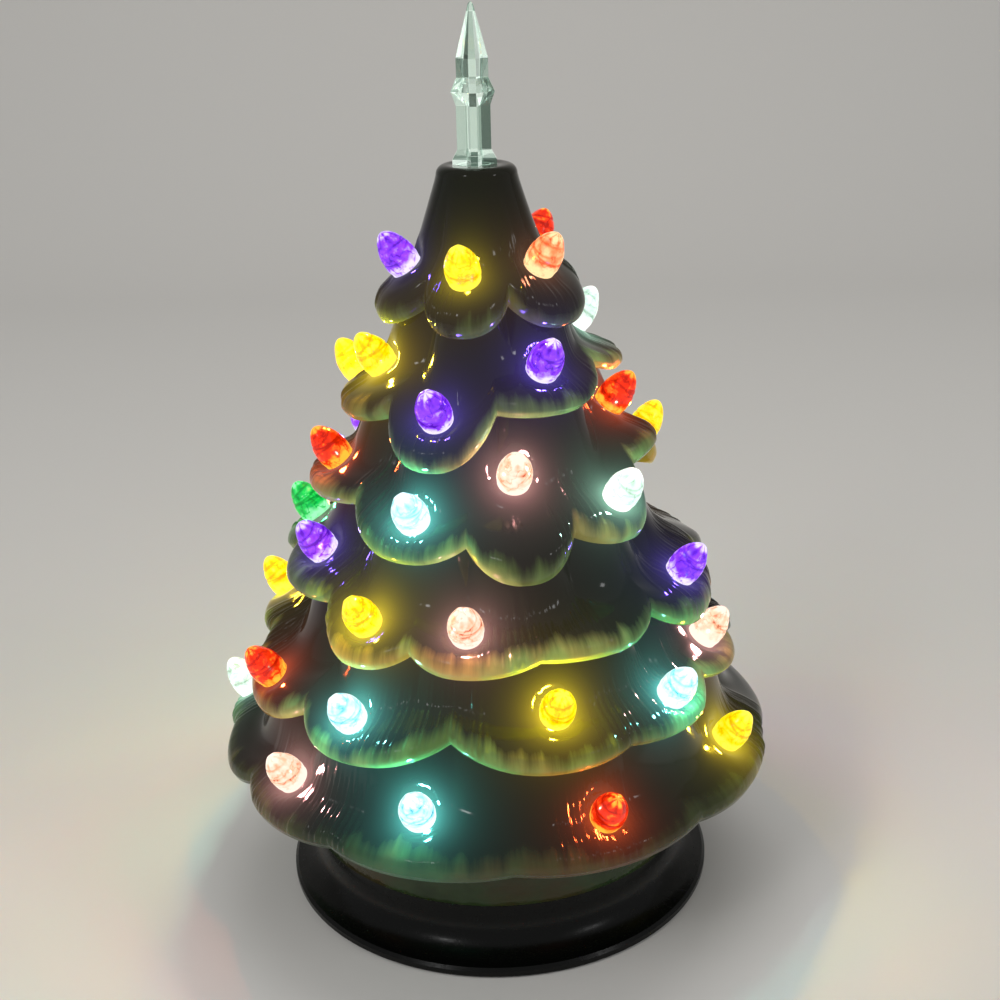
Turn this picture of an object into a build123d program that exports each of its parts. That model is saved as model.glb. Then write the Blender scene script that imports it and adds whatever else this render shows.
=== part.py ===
from build123d import *
from math import cos, radians, sin, sqrt
import os

# Ceramic table-top tree with push-in bulbs, standing on a lit battery base.
# Millimetres, +Z up, axis of the tree on Z, table at z = 0, front of the tree towards -Y.
# Azimuths are in degrees, 0 at the front and growing towards +X.

# Heights of the tree
SEAT_Z = 18.0  # ledge of the base that the tree stands on
SHOULDER_Z = 199.0  # where the lobed part of the first tier starts
CROWN_Z = 203.0  # flat top of the trunk

# Cone that the lobe tips lie on
CONE_TOP_Z = 165.0
CONE_TOP_R = 28.5
CONE_FOOT_Z = 37.0
CONE_FOOT_R = 78.5
CONE_BELLY = 3.0  # how far the cone bulges at mid height

# Trunk, lips and rim of the tree
TRUNK_R = 10.4  # trunk radius under the rounded top
TRUNK_FLARE = 0.4  # how much wider it is at the shoulder
TRUNK_X = -1.4  # the hand-shaped trunk leans a little to the left
CROWN_ROUND = 2.4  # rounding of the trunk's top edge
TOP_HOLE_R = 4.6
TOP_HOLE_X = -1.8  # the hole sits a little off the trunk's middle
LIP_ROLL = 2.2  # how far the lower lip of a lobe rolls inwards
LIP_RISE = 1.2  # how far the crease climbs behind the lip
LOBE_POWER = 2.3  # roundness of a lobe between its notches
RING_POINTS = 48  # points around each level of the tree
SKIRT_R = 58.0  # plain skirt half way between the last lobes and the rim
SKIRT_Z = 28.0
RIM_R = 55.0  # outside of the tree's lower rim
RIM_HEIGHT = 2.5
RIM_INNER_R = 48.6  # inside of the tree's lower rim
WALL_FOOT_Z = 36.0  # where the hollow starts to close in towards the rim

# Bulbs: plastic lights on pegs
BULB_LENGTH = 11.4
BULB_R = 4.7
BULB_FOOT_R = 3.6
BULB_WAIST_Z = 3.6  # height of its widest part
PEG_R = 1.6
PEG_LENGTH = 7.0
PEG_CLEARANCE = 0.3
BULB_TILT = 55.0  # degrees above level
PASSAGE_R = 1.5  # light passage from the peg's hole to the hollow
PASSAGE_LENGTH = 18.0
PASSAGE_TILT = 12.0  # degrees above level, seen from the hollow
BULB_SEAT_DEPTH = 0.5  # flat in the glaze under each bulb
BULB_POCKET_CLEARANCE = 0.35

# Topper: clear four-finned spire on a peg
TOPPER_HEIGHT = 39.0
FIN_THICKNESS = 2.0
FIN_FOOT_R = 5.6
FIN_STEM_R = 4.3
FIN_STAR_R = 5.5
FIN_SHOULDER_R = 4.0
TOPPER_CORE_R = 3.2
TOPPER_STAR_CORE_R = 4.5
TOPPER_TIP_R = 0.4
TOPPER_PEG_LENGTH = 9.0
TOPPER_PEG_CLEARANCE = 0.3

# Base dish
BASE_R = 61.0
BASE_EDGE = 3.0  # height of the dish's outer edge
EDGE_ROUND = 0.8
NECK_R = 51.5
NECK_Z = 12.5
DISH_WALL = 3.0
DECK_Z = 21.0  # raised deck that steers the tree into place
DECK_R = 46.4
DECK_THICKNESS = 2.6
PLATE_LEDGE = 2.4  # width of the step that the bottom plate bears on

# Bottom plate and its screws
PLATE_R = 57.0
PLATE_THICKNESS = 2.4
PLATE_RECESS = 1.0
PLATE_CLEARANCE = 0.4
SCREW_CIRCLE_R = 41.0
SCREW_R = 1.25
SCREW_HEAD_R = 2.7
SCREW_HEAD_HEIGHT = 1.4
SCREW_LENGTH = 8.0
SCREW_CLEARANCE = 0.3
BOSS_R = 3.6

# Cells, contacts and battery bay
CELL_R = 5.2
CELL_LENGTH = 44.5  # over the nub
CELL_NUB_R = 1.9
CELL_NUB_LENGTH = 1.0
CELL_PITCH = 11.2
CELL_SIDE_PLAY = 0.4
CELL_FLOOR_PLAY = 0.8
CONTACT_THICKNESS = 0.5
CONTACT_WIDTH = 8.0
CONTACT_HEIGHT = 8.0
CONTACT_GAP = 0.3
BAY_WALL = 1.5

# Battery door on moulded stub pins, with its screw
DOOR_THICKNESS = 1.6
DOOR_CLEARANCE = 0.4
HINGE_BARREL_R = 1.1
HINGE_PIN_R = 0.6
HINGE_PIN_LENGTH = 1.6
HINGE_CLEARANCE = 0.08
DOOR_TAB_WIDTH = 9.0
DOOR_TAB_LENGTH = 8.0
DOOR_SCREW_R = 1.0
DOOR_SCREW_HEAD_R = 2.0
DOOR_SCREW_HEAD_HEIGHT = 0.9
DOOR_SCREW_LENGTH = 4.4
DOOR_SCREW_SWING = 0.6  # room for the screw to swing out with the door
DOOR_BOSS_R = 3.4
DOOR_BOSS_HEIGHT = 6.0

# Slide switch in the bottom plate
SWITCH_X = 36.0
SWITCH_WIDTH = 7.4
SWITCH_LENGTH = 13.0
SWITCH_HEIGHT = 4.2
SWITCH_TRAVEL = 4.0
SWITCH_CLEARANCE = 0.3
SLIDER_WIDTH = 2.4
SLIDER_LENGTH = 3.0
SLIDER_LIFT = 0.35  # knob above the table
CARRIAGE_WIDTH = 4.4
CARRIAGE_LENGTH = 5.0
CARRIAGE_HEIGHT = 1.6

# Lamp post, light board, shade and leads inside the tree
POST_R = 6.0
POST_BORE_R = 4.2
POST_FLANGE_R = 12.0
POST_FLANGE_THICKNESS = 2.0
POST_TOP_Z = 84.0
POST_FIT = 0.05
BOARD_R = 8.6
BOARD_THICKNESS = 1.6
LED_SIZE = 3.5
LED_HEIGHT = 1.2
LED_CIRCLE_R = 5.0
SHADE_R = 11.0
SHADE_WALL = 1.2
SHADE_STRAIGHT = 10.0
WIRE_R = 0.6
WIRE_BEND_R = 1.6
WIRE_Z = 16.9  # height of the leads between the bay and the deck
WIRE_SPREAD = 1.5

# Tiers from the top: height of the lobe edges, notch depth, notch rise, depth of the crease under the lips,
# and the lobes as (azimuth, drop below the edge height, height of the bulb's seat above the edge, bulb colour,
# share of the tier's notch between this lobe and the next).
TIERS = [
    (165.0, 4.5, 6.0, 3.1, [
        (-168, 0.0, 13.0, "cyan", 1.0), (-75, 0.5, 14.0, "purple", 1.0), (-14, 0.5, 13.75, "yellow", 1.0),
        (47, 0.0, 14.25, "orange", 1.0), (139, 0.0, 13.75, "red", 1.0),
    ]),
    (139.0, 5.0, 6.0, 4.6, [
        (-160, 0.0, 10.0, "green", 1.0), (-110, 2.0, 8.5, "yellow", 1.0), (-72, -2.0, 12.5, "yellow", 1.0),
        (-22, 5.0, 11.5, "purple", 1.0), (30, -7.0, 9.5, "purple", 1.0), (104, -9.0, 12.0, "clear", 1.0),
        (150, -2.0, 10.0, "red", 1.0),
    ]),
    (114.0, 5.0, 5.0, 6.1, [
        (-165, 0.0, 8.5, "clear", 1.0), (-128, -2.0, 8.5, "purple", 1.0), (-78, -6.0, 8.25, "red", 1.0),
        (-26, 1.0, 8.75, "cyan", 1.0), (10, 5.0, 21.0, "pink", 1.0), (45, 0.0, 10.0, "clear", 1.0),
        (80, -15.0, 11.5, "red", 1.0), (117, 0.0, 8.5, "yellow", 1.0), (155, 0.0, 8.5, "green", 1.0),
    ]),
    (89.0, 4.5, 5.0, 6.9, [
        (-140, 0.0, 8.5, "red", 1.0), (-103, -7.0, 8.75, "green", 1.0), (-66, -8.0, 9.5, "purple", 1.0),
        (-36, 2.0, 9.5, "yellow", 0.7), (-7, 1.0, 9.25, "pink", 0.3), (30, -1.0, 0.0, None, 1.0),
        (65, 2.0, 12.0, "purple", 1.0), (108, 0.0, 0.0, None, 1.0), (140, 0.0, 8.5, "red", 1.0),
        (166, 0.0, 8.5, "cyan", 1.0), (192, 0.0, 8.5, "yellow", 1.0),
    ]),
    (65.0, 4.5, 5.0, 4.4, [
        (-150, 0.0, 8.5, "clear", 1.0), (-104, -8.0, 7.5, "yellow", 1.0), (-66, 1.0, 9.75, "red", 1.0),
        (-36, 1.0, 8.75, "cyan", 1.2), (15, 0.0, 11.25, "yellow", 0.3), (46, -1.0, 8.25, "cyan", 0.8),
        (73, -5.0, 7.5, "pink", 1.0), (102, 0.0, 0.0, None, 1.0), (131, 0.0, 8.5, "purple", 1.0),
        (157, 0.0, 8.5, "red", 1.0), (183, 0.0, 8.5, "green", 1.0),
    ]),
    (40.5, 3.5, 3.5, 8.4, [
        (-138, 0.0, 11.5, "red", 0.8), (-98, 0.0, 10.0, "clear", 0.5), (-76, 0.0, 0.0, None, 0.7),
        (-52, 0.0, 10.5, "pink", 0.4), (-17, 0.0, 12.0, "cyan", 0.3), (23, 0.0, 10.5, "red", 0.4),
        (65, 0.0, 11.75, "yellow", 0.4), (98, 0.0, 0.0, None, 0.8), (144, 0.0, 11.5, "purple", 0.8),
        (190, 0.0, 11.5, "cyan", 0.8),
    ]),
]

# Levels of a lobe from its top to its nose, as (share of its reach, share of its height).
BELL_LEVELS = [(0.09, 0.87), (0.18, 0.74), (0.28, 0.60), (0.42, 0.45), (0.66, 0.33), (0.90, 0.23), (1.0, 0.12)]
FLARE_LEVELS = [(0.10, 0.82), (0.21, 0.62), (0.34, 0.46), (0.50, 0.37), (0.74, 0.29), (0.94, 0.20), (1.0, 0.10)]

# Inside of the tree from the trunk down, as (radius, height).
HOLLOW = [(6.8, 187.0), (11.5, 170.0), (22.0, 146.0), (31.5, 120.0), (40.5, 94.0), (48.0, 70.0), (54.5, 45.0)]

# Outlines of the topper as (share of its height, radius)
FIN_OUTLINE = [
    (0.0, FIN_FOOT_R), (0.03, FIN_FOOT_R), (0.09, FIN_STEM_R), (0.37, FIN_STEM_R), (0.45, FIN_STAR_R),
    (0.54, FIN_SHOULDER_R), (0.66, FIN_SHOULDER_R), (1.0, TOPPER_TIP_R),
]
CORE_LEVELS = [
    (0.0, TOPPER_CORE_R), (0.36, TOPPER_CORE_R), (0.46, TOPPER_STAR_CORE_R), (0.57, TOPPER_CORE_R),
    (0.66, TOPPER_CORE_R), (1.0, TOPPER_TIP_R),
]

# Sizes that follow from the ones above
PLATE_TOP_Z = PLATE_RECESS + PLATE_THICKNESS
PLATE_POCKET_R = PLATE_R + PLATE_CLEARANCE
DOOR_TOP_Z = PLATE_RECESS + DOOR_THICKNESS
CELL_Z = DOOR_TOP_Z + CELL_FLOOR_PLAY + CELL_R
BAY_HALF_WIDTH = CELL_PITCH + CELL_R + CELL_SIDE_PLAY
BAY_HALF_LENGTH = CELL_LENGTH / 2 + CONTACT_GAP + CONTACT_THICKNESS
BAY_CEILING_Z = CELL_Z + CELL_R + CELL_SIDE_PLAY
CONTACT_TOP_Z = CELL_Z + CONTACT_HEIGHT / 2
DOOR_HALF_WIDTH = BAY_HALF_WIDTH - DOOR_CLEARANCE
DOOR_HALF_LENGTH = BAY_HALF_LENGTH - DOOR_CLEARANCE
HINGE_Y = HINGE_BARREL_R - DOOR_HALF_LENGTH
HINGE_Z = PLATE_RECESS + HINGE_BARREL_R
DOOR_SCREW_Y = DOOR_HALF_LENGTH + DOOR_TAB_LENGTH / 2
DECK_UNDER_Z = DECK_Z - DECK_THICKNESS
CARRIAGE_Z = PLATE_TOP_Z + SWITCH_CLEARANCE
SWITCH_TOP_Z = PLATE_TOP_Z + SWITCH_HEIGHT
SCREW_TURNS = [45, 135, 225, 315]
AZIMUTHS = [360.0 * i / RING_POINTS for i in range(RING_POINTS)]


def save(part, name):
    """Name a finished piece and write it to its own file."""
    part.label = name
    export_step(part, f"parts/{name}.step")


def place(azimuth, radius, z):
    """Point at an azimuth, a distance from the axis and a height."""
    turn = radians(azimuth)
    return Vector(radius * sin(turn), -radius * cos(turn), z)


def cone_radius(z):
    """Radius of the lobe tips at a height."""
    t = (CONE_TOP_Z - z) / (CONE_TOP_Z - CONE_FOOT_Z)
    return CONE_TOP_R + t * (CONE_FOOT_R - CONE_TOP_R) + 4.0 * CONE_BELLY * t * (1.0 - t)


def lip(tier, azimuth):
    """Radius and height of a tier's lower edge at an azimuth."""
    edge, notch_depth, notch_rise, _, lobes = tier
    for i, lobe in enumerate(lobes):
        following = lobes[(i + 1) % len(lobes)]
        width = (following[0] - lobe[0]) % 360
        along = (azimuth - lobe[0]) % 360
        if along <= width:
            break
    nearest = lobe if 2 * along < width else following
    fullness = 1.0 - (1.0 - abs(2.0 * along / width - 1.0)) ** LOBE_POWER
    notch_z = edge - (lobe[1] + following[1]) / 2 + lobe[4] * notch_rise
    notch_r = cone_radius(notch_z) - lobe[4] * notch_depth
    tip_z = edge - nearest[1]
    return notch_r + fullness * (cone_radius(tip_z) - notch_r), notch_z + fullness * (tip_z - notch_z)


def ring(radii_and_heights):
    """Closed smooth line around the tree, one radius and height per azimuth."""
    with BuildLine() as line:
        Spline(*[place(a, r, z) for a, (r, z) in zip(AZIMUTHS, radii_and_heights)], periodic=True)
    return line.wire()


def circle_ring(radius, z, centre_x=0.0):
    """Circle with the same points as the lobed rings, seen from the axis where its own centre is aside of it."""
    turns = [radians(azimuth) for azimuth in AZIMUTHS]
    return [(centre_x * sin(turn) + sqrt(radius**2 - (centre_x * cos(turn)) ** 2), z) for turn in turns]


os.makedirs("parts", exist_ok=True)

# Outside of the tree as a stack of rings, each tier starting in the crease under the one above
crown_r = TRUNK_R - CROWN_ROUND
levels = []
for turn in (90.0, 60.0, 30.0, 0.0):
    round_r = crown_r + CROWN_ROUND * cos(radians(turn))
    levels.append(circle_ring(round_r, CROWN_Z - CROWN_ROUND + CROWN_ROUND * sin(radians(turn)), TRUNK_X))
levels.append(circle_ring(TRUNK_R + TRUNK_FLARE, SHOULDER_Z, TRUNK_X))
for number, tier in enumerate(TIERS):
    start = levels[-1]
    edge_ring = [lip(tier, azimuth) for azimuth in AZIMUTHS]
    for reach, height in BELL_LEVELS if number == 0 else FLARE_LEVELS:
        levels.append([(r0 + reach * (r1 - r0), z1 + height * (z0 - z1))
                       for (r0, z0), (r1, z1) in zip(start, edge_ring)])
    levels.append([(r - LIP_ROLL / 4, z + LIP_ROLL / 2) for r, z in edge_ring])
    levels.append([(r - LIP_ROLL, z) for r, z in edge_ring])
    levels.append([(r - LIP_ROLL - tier[3], z + LIP_RISE) for r, z in edge_ring])
levels.append(circle_ring(SKIRT_R, SKIRT_Z))
levels.append(circle_ring(RIM_R, SEAT_Z + RIM_HEIGHT))
levels.append(circle_ring(RIM_R - EDGE_ROUND, SEAT_Z))
outside = Solid.make_loft([ring(level) for level in levels], ruled=True)

# Seats of the bulbs: planes on the lobes with Z along each bulb
bulb_seats = {}
for number, (edge, _, _, _, lobes) in enumerate(TIERS, start=1):
    for azimuth, drop, rise, colour, _ in lobes:
        if colour is None:
            continue
        outwards = place(azimuth, 1.0, 0.0)
        hits = outside.find_intersection_points(Axis((0, 0, edge - drop + rise), outwards))
        surface = max((point for point, _ in hits), key=lambda point: point.dot(outwards))
        along = place(azimuth, cos(radians(BULB_TILT)), sin(radians(BULB_TILT)))
        seat = Plane(surface - along * BULB_SEAT_DEPTH, place(azimuth + 90.0, 1.0, 0.0), along)
        bulb_seats.setdefault((number, colour), []).append(seat)

# Pocket, peg hole and light passage that a bulb takes up in the tree
with BuildPart() as bulb_room:
    Cylinder(PEG_R + PEG_CLEARANCE, PEG_LENGTH + PEG_CLEARANCE, align=(Align.CENTER, Align.CENTER, Align.MAX))
    Cylinder(BULB_R + BULB_POCKET_CLEARANCE, BULB_LENGTH, align=(Align.CENTER, Align.CENTER, Align.MIN))
    with Locations(Location((0, 0, 2.0 - PEG_LENGTH), (BULB_TILT - PASSAGE_TILT, 0, 0))):
        Cylinder(PASSAGE_R, PASSAGE_LENGTH, align=(Align.CENTER, Align.CENTER, Align.MAX))

# Hollow ceramic tree
with BuildPart() as tree_shell:
    add(outside)
    with BuildSketch(Plane.XZ):
        with BuildLine():
            Polyline((0, HOLLOW[0][1]), *HOLLOW)
            Polyline(HOLLOW[-1], (HOLLOW[-1][0] - 2.0, WALL_FOOT_Z), (RIM_INNER_R, SEAT_Z + 6.0))
            Polyline((RIM_INNER_R, SEAT_Z + 6.0), (RIM_INNER_R, SEAT_Z - 1.0), (0, SEAT_Z - 1.0), (0, HOLLOW[0][1]))
        make_face()
    revolve(axis=Axis.Z, mode=Mode.SUBTRACT)
    with Locations((TOP_HOLE_X, 0, HOLLOW[1][1])):
        Cylinder(TOP_HOLE_R, CROWN_Z, align=(Align.CENTER, Align.CENTER, Align.MIN), mode=Mode.SUBTRACT)
    with Locations(*[seat for seats in bulb_seats.values() for seat in seats]):
        add(bulb_room.part, mode=Mode.SUBTRACT)
save(tree_shell.part, "tree_shell")

# One bulb, standing on its seat
with BuildPart() as bulb:
    with BuildSketch(Plane.XZ):
        with BuildLine():
            Polyline((0, BULB_LENGTH), (0, -PEG_LENGTH), (PEG_R, -PEG_LENGTH), (PEG_R, 0), (BULB_FOOT_R, 0))
            Bezier((BULB_FOOT_R, 0), (BULB_R, 0.04 * BULB_LENGTH), (BULB_R, BULB_WAIST_Z))
            Bezier(
                (BULB_R, BULB_WAIST_Z), (BULB_R, 0.62 * BULB_LENGTH), (0.5 * BULB_R, BULB_LENGTH), (0, BULB_LENGTH)
            )
        make_face()
    revolve(axis=Axis.Z)

# Bulbs of each tier, one piece file per colour
for (number, colour), seats in bulb_seats.items():
    with BuildPart() as tier_bulbs:
        with Locations(*seats):
            add(bulb.part)
    save(tier_bulbs.part, f"tier_{number}_{colour}_bulbs")

# Clear topper
fin_side = [(radius, share * TOPPER_HEIGHT) for share, radius in FIN_OUTLINE]
fin_outline = fin_side + [(-radius, height) for radius, height in reversed(fin_side)]
topper_foot = Plane((TOP_HOLE_X, 0, CROWN_Z))
with BuildPart(topper_foot) as topper:
    for turn in (0, 90):
        with BuildSketch(topper_foot * Plane.XZ.rotated((0, 0, turn))):
            with BuildLine():
                Polyline(*fin_outline, close=True)
            make_face()
        extrude(amount=FIN_THICKNESS / 2, both=True)
    for share, radius in CORE_LEVELS:
        with BuildSketch(topper_foot.offset(share * TOPPER_HEIGHT)):
            RegularPolygon(radius, 8)
    loft(ruled=True)
    Cylinder(
        TOP_HOLE_R - TOPPER_PEG_CLEARANCE, TOPPER_PEG_LENGTH, align=(Align.CENTER, Align.CENTER, Align.MAX)
    )
save(topper.part, "topper")

# Base dish that the tree stands on
deck_wall_r = DECK_R - DISH_WALL
neck_wall_r = NECK_R - DISH_WALL
ledge_r = PLATE_POCKET_R - PLATE_LEDGE
flare = 1.0 - cos(radians(45.0))
with BuildPart() as base_dish:
    with BuildSketch(Plane.XZ):
        with BuildLine():
            Polyline((PLATE_POCKET_R, 0), (BASE_R - EDGE_ROUND, 0), (BASE_R, EDGE_ROUND))
            Line((BASE_R, EDGE_ROUND), (BASE_R, BASE_EDGE - EDGE_ROUND))
            Line((BASE_R, BASE_EDGE - EDGE_ROUND), (BASE_R - EDGE_ROUND, BASE_EDGE))
            ThreePointArc(
                (BASE_R - EDGE_ROUND, BASE_EDGE),
                (NECK_R + flare * (BASE_R - EDGE_ROUND - NECK_R), BASE_EDGE + flare * (NECK_Z - BASE_EDGE)),
                (NECK_R, NECK_Z),
            )
            Polyline((NECK_R, NECK_Z), (NECK_R, SEAT_Z), (DECK_R, SEAT_Z), (DECK_R, DECK_Z - EDGE_ROUND))
            Polyline((DECK_R, DECK_Z - EDGE_ROUND), (DECK_R - EDGE_ROUND, DECK_Z), (POST_R + POST_FIT, DECK_Z))
            Polyline((POST_R + POST_FIT, DECK_Z), (POST_R + POST_FIT, DECK_UNDER_Z), (deck_wall_r, DECK_UNDER_Z))
            Polyline(
                (deck_wall_r, DECK_UNDER_Z), (deck_wall_r, SEAT_Z - DISH_WALL), (neck_wall_r, SEAT_Z - DISH_WALL)
            )
            Line((neck_wall_r, SEAT_Z - DISH_WALL), (neck_wall_r, NECK_Z))
            ThreePointArc(
                (neck_wall_r, NECK_Z),
                (neck_wall_r + flare * (ledge_r - neck_wall_r), PLATE_TOP_Z + flare * (NECK_Z - PLATE_TOP_Z)),
                (ledge_r, PLATE_TOP_Z),
            )
            Polyline((ledge_r, PLATE_TOP_Z), (PLATE_POCKET_R, PLATE_TOP_Z), (PLATE_POCKET_R, 0))
        make_face()
    revolve(axis=Axis.Z)
    with Locations(*[place(turn, SCREW_CIRCLE_R, PLATE_TOP_Z) for turn in SCREW_TURNS]):
        Cylinder(BOSS_R, DECK_UNDER_Z - PLATE_TOP_Z, align=(Align.CENTER, Align.CENTER, Align.MIN))
        Cylinder(
            SCREW_R + SCREW_CLEARANCE, SCREW_LENGTH, align=(Align.CENTER, Align.CENTER, Align.MIN), mode=Mode.SUBTRACT
        )
save(base_dish.part, "base_dish")

# Bottom plate with the battery bay
with BuildPart() as bottom_plate:
    with Locations((0, 0, PLATE_RECESS)):
        Cylinder(PLATE_R, PLATE_THICKNESS, align=(Align.CENTER, Align.CENTER, Align.MIN))
        Box(
            2 * (BAY_HALF_WIDTH + BAY_WALL), 2 * (BAY_HALF_LENGTH + BAY_WALL), BAY_CEILING_Z + BAY_WALL - PLATE_RECESS,
            align=(Align.CENTER, Align.CENTER, Align.MIN),
        )
    with Locations((0, DOOR_SCREW_Y, PLATE_RECESS)):
        Cylinder(DOOR_BOSS_R, DOOR_BOSS_HEIGHT, align=(Align.CENTER, Align.CENTER, Align.MIN))
    with Locations((0, 0, PLATE_RECESS)):
        Box(
            2 * BAY_HALF_WIDTH, 2 * BAY_HALF_LENGTH, BAY_CEILING_Z - PLATE_RECESS,
            align=(Align.CENTER, Align.CENTER, Align.MIN), mode=Mode.SUBTRACT,
        )
    with Locations((0, BAY_HALF_LENGTH - 1.0, PLATE_RECESS)):
        Box(
            DOOR_TAB_WIDTH + 2 * DOOR_CLEARANCE, 1.0 + DOOR_TAB_LENGTH + DOOR_CLEARANCE - DOOR_CLEARANCE / 2,
            DOOR_THICKNESS + DOOR_CLEARANCE / 2,
            align=(Align.CENTER, Align.MIN, Align.MIN), mode=Mode.SUBTRACT,
        )
    with Locations((0, DOOR_SCREW_Y, PLATE_RECESS)):
        Cylinder(
            DOOR_SCREW_R + DOOR_SCREW_SWING, DOOR_BOSS_HEIGHT,
            align=(Align.CENTER, Align.CENTER, Align.MIN), mode=Mode.SUBTRACT,
        )
    with Locations(Location((0, HINGE_Y, HINGE_Z), (0, 90, 0))):
        Cylinder(
            HINGE_PIN_R + HINGE_CLEARANCE, 2 * (DOOR_HALF_WIDTH + HINGE_PIN_LENGTH + DOOR_CLEARANCE),
            mode=Mode.SUBTRACT,
        )
    with Locations(*[place(turn, SCREW_CIRCLE_R, PLATE_RECESS) for turn in SCREW_TURNS]):
        Cylinder(
            SCREW_R + SCREW_CLEARANCE, PLATE_THICKNESS, align=(Align.CENTER, Align.CENTER, Align.MIN), mode=Mode.SUBTRACT
        )
        Cylinder(
            SCREW_HEAD_R + SCREW_CLEARANCE, SCREW_HEAD_HEIGHT,
            align=(Align.CENTER, Align.CENTER, Align.MIN), mode=Mode.SUBTRACT,
        )
    with Locations((SWITCH_X, 0, PLATE_RECESS)):
        Box(
            SLIDER_WIDTH + 2 * SWITCH_CLEARANCE, SLIDER_LENGTH + SWITCH_TRAVEL + 2 * SWITCH_CLEARANCE, PLATE_THICKNESS,
            align=(Align.CENTER, Align.CENTER, Align.MIN), mode=Mode.SUBTRACT,
        )
    with Locations((-CELL_PITCH, BAY_HALF_LENGTH, CONTACT_TOP_Z), (CELL_PITCH, -BAY_HALF_LENGTH, CONTACT_TOP_Z)):
        Cylinder(
            2 * WIRE_R, BAY_CEILING_Z + BAY_WALL - CONTACT_TOP_Z,
            align=(Align.CENTER, Align.CENTER, Align.MIN), mode=Mode.SUBTRACT,
        )
save(bottom_plate.part, "bottom_plate")

# Screws that hold the bottom plate
with BuildPart() as plate_screws:
    with Locations(*[place(turn, SCREW_CIRCLE_R, PLATE_RECESS) for turn in SCREW_TURNS]):
        Cylinder(SCREW_HEAD_R, SCREW_HEAD_HEIGHT, align=(Align.CENTER, Align.CENTER, Align.MIN))
        Cylinder(SCREW_R, SCREW_LENGTH, align=(Align.CENTER, Align.CENTER, Align.MIN))
        Box(
            2 * SCREW_R, 0.5, 0.7, align=(Align.CENTER, Align.CENTER, Align.MIN), mode=Mode.SUBTRACT
        )
save(plate_screws.part, "plate_screws")

# Battery door with its hinge barrel and screw tab
with BuildPart() as battery_door:
    with Locations((0, 0, PLATE_RECESS)):
        Box(
            2 * DOOR_HALF_WIDTH, 2 * (DOOR_HALF_LENGTH - HINGE_BARREL_R), DOOR_THICKNESS,
            align=(Align.CENTER, Align.CENTER, Align.MIN),
        )
    with Locations((0, DOOR_HALF_LENGTH - HINGE_BARREL_R, PLATE_RECESS)):
        Box(
            2 * DOOR_HALF_WIDTH, HINGE_BARREL_R, DOOR_THICKNESS, align=(Align.CENTER, Align.MIN, Align.MIN)
        )
    with Locations((0, DOOR_HALF_LENGTH - 1.0, PLATE_RECESS)):
        Box(
            DOOR_TAB_WIDTH, DOOR_TAB_LENGTH + 1.0, DOOR_THICKNESS, align=(Align.CENTER, Align.MIN, Align.MIN)
        )
    with Locations(Location((0, HINGE_Y, HINGE_Z), (0, 90, 0))):
        Cylinder(HINGE_BARREL_R, 2 * DOOR_HALF_WIDTH)
        Cylinder(HINGE_PIN_R, 2 * (DOOR_HALF_WIDTH + HINGE_PIN_LENGTH))
    with Locations((0, DOOR_SCREW_Y, PLATE_RECESS)):
        Cylinder(
            DOOR_SCREW_R + SCREW_CLEARANCE, DOOR_THICKNESS,
            align=(Align.CENTER, Align.CENTER, Align.MIN), mode=Mode.SUBTRACT,
        )
        Cylinder(
            DOOR_SCREW_HEAD_R + SCREW_CLEARANCE, DOOR_SCREW_HEAD_HEIGHT,
            align=(Align.CENTER, Align.CENTER, Align.MIN), mode=Mode.SUBTRACT,
        )
save(battery_door.part, "battery_door")

# Captive screw of the battery door
with BuildPart() as door_screw:
    with Locations((0, DOOR_SCREW_Y, PLATE_RECESS)):
        Cylinder(DOOR_SCREW_HEAD_R, DOOR_SCREW_HEAD_HEIGHT, align=(Align.CENTER, Align.CENTER, Align.MIN))
        Cylinder(DOOR_SCREW_R, DOOR_SCREW_LENGTH, align=(Align.CENTER, Align.CENTER, Align.MIN))
        Box(
            2 * DOOR_SCREW_R, 0.5, 0.5, align=(Align.CENTER, Align.CENTER, Align.MIN), mode=Mode.SUBTRACT
        )
save(door_screw.part, "door_screw")

# Three dry cells side by side, each turned end for end from its neighbour
for number, side in enumerate((-1, 1, -1), start=1):
    foot = Plane((CELL_PITCH * (2 - number), -side * CELL_LENGTH / 2, CELL_Z), (1, 0, 0), (0, side, 0))
    with BuildPart(foot) as cell:
        Cylinder(CELL_R, CELL_LENGTH - CELL_NUB_LENGTH, align=(Align.CENTER, Align.CENTER, Align.MIN))
        Cylinder(CELL_NUB_R, CELL_LENGTH, align=(Align.CENTER, Align.CENTER, Align.MIN))
    save(cell.part, f"battery_{number}")

# Spring-steel contacts at both ends of the bay, linking the cells in a row
with BuildPart() as contacts:
    for side in (-1, 1):
        with Locations((0, side * (BAY_HALF_LENGTH - CONTACT_THICKNESS / 2), CELL_Z)):
            with Locations((side * CELL_PITCH / 2, 0, 0)):
                Box(CELL_PITCH + CONTACT_WIDTH, CONTACT_THICKNESS, CONTACT_HEIGHT)
            with Locations((-side * CELL_PITCH, 0, 0)):
                Box(CONTACT_WIDTH, CONTACT_THICKNESS, CONTACT_HEIGHT)
save(contacts.part, "contacts")

# Body of the slide switch
with BuildPart() as switch_body:
    with Locations((SWITCH_X, 0, PLATE_TOP_Z)):
        Box(SWITCH_WIDTH, SWITCH_LENGTH, SWITCH_HEIGHT, align=(Align.CENTER, Align.CENTER, Align.MIN))
        Box(
            CARRIAGE_WIDTH + 2 * SWITCH_CLEARANCE, CARRIAGE_LENGTH + SWITCH_TRAVEL + 2 * SWITCH_CLEARANCE,
            CARRIAGE_HEIGHT + 2 * SWITCH_CLEARANCE,
            align=(Align.CENTER, Align.CENTER, Align.MIN), mode=Mode.SUBTRACT,
        )
save(switch_body.part, "switch_body")

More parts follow.
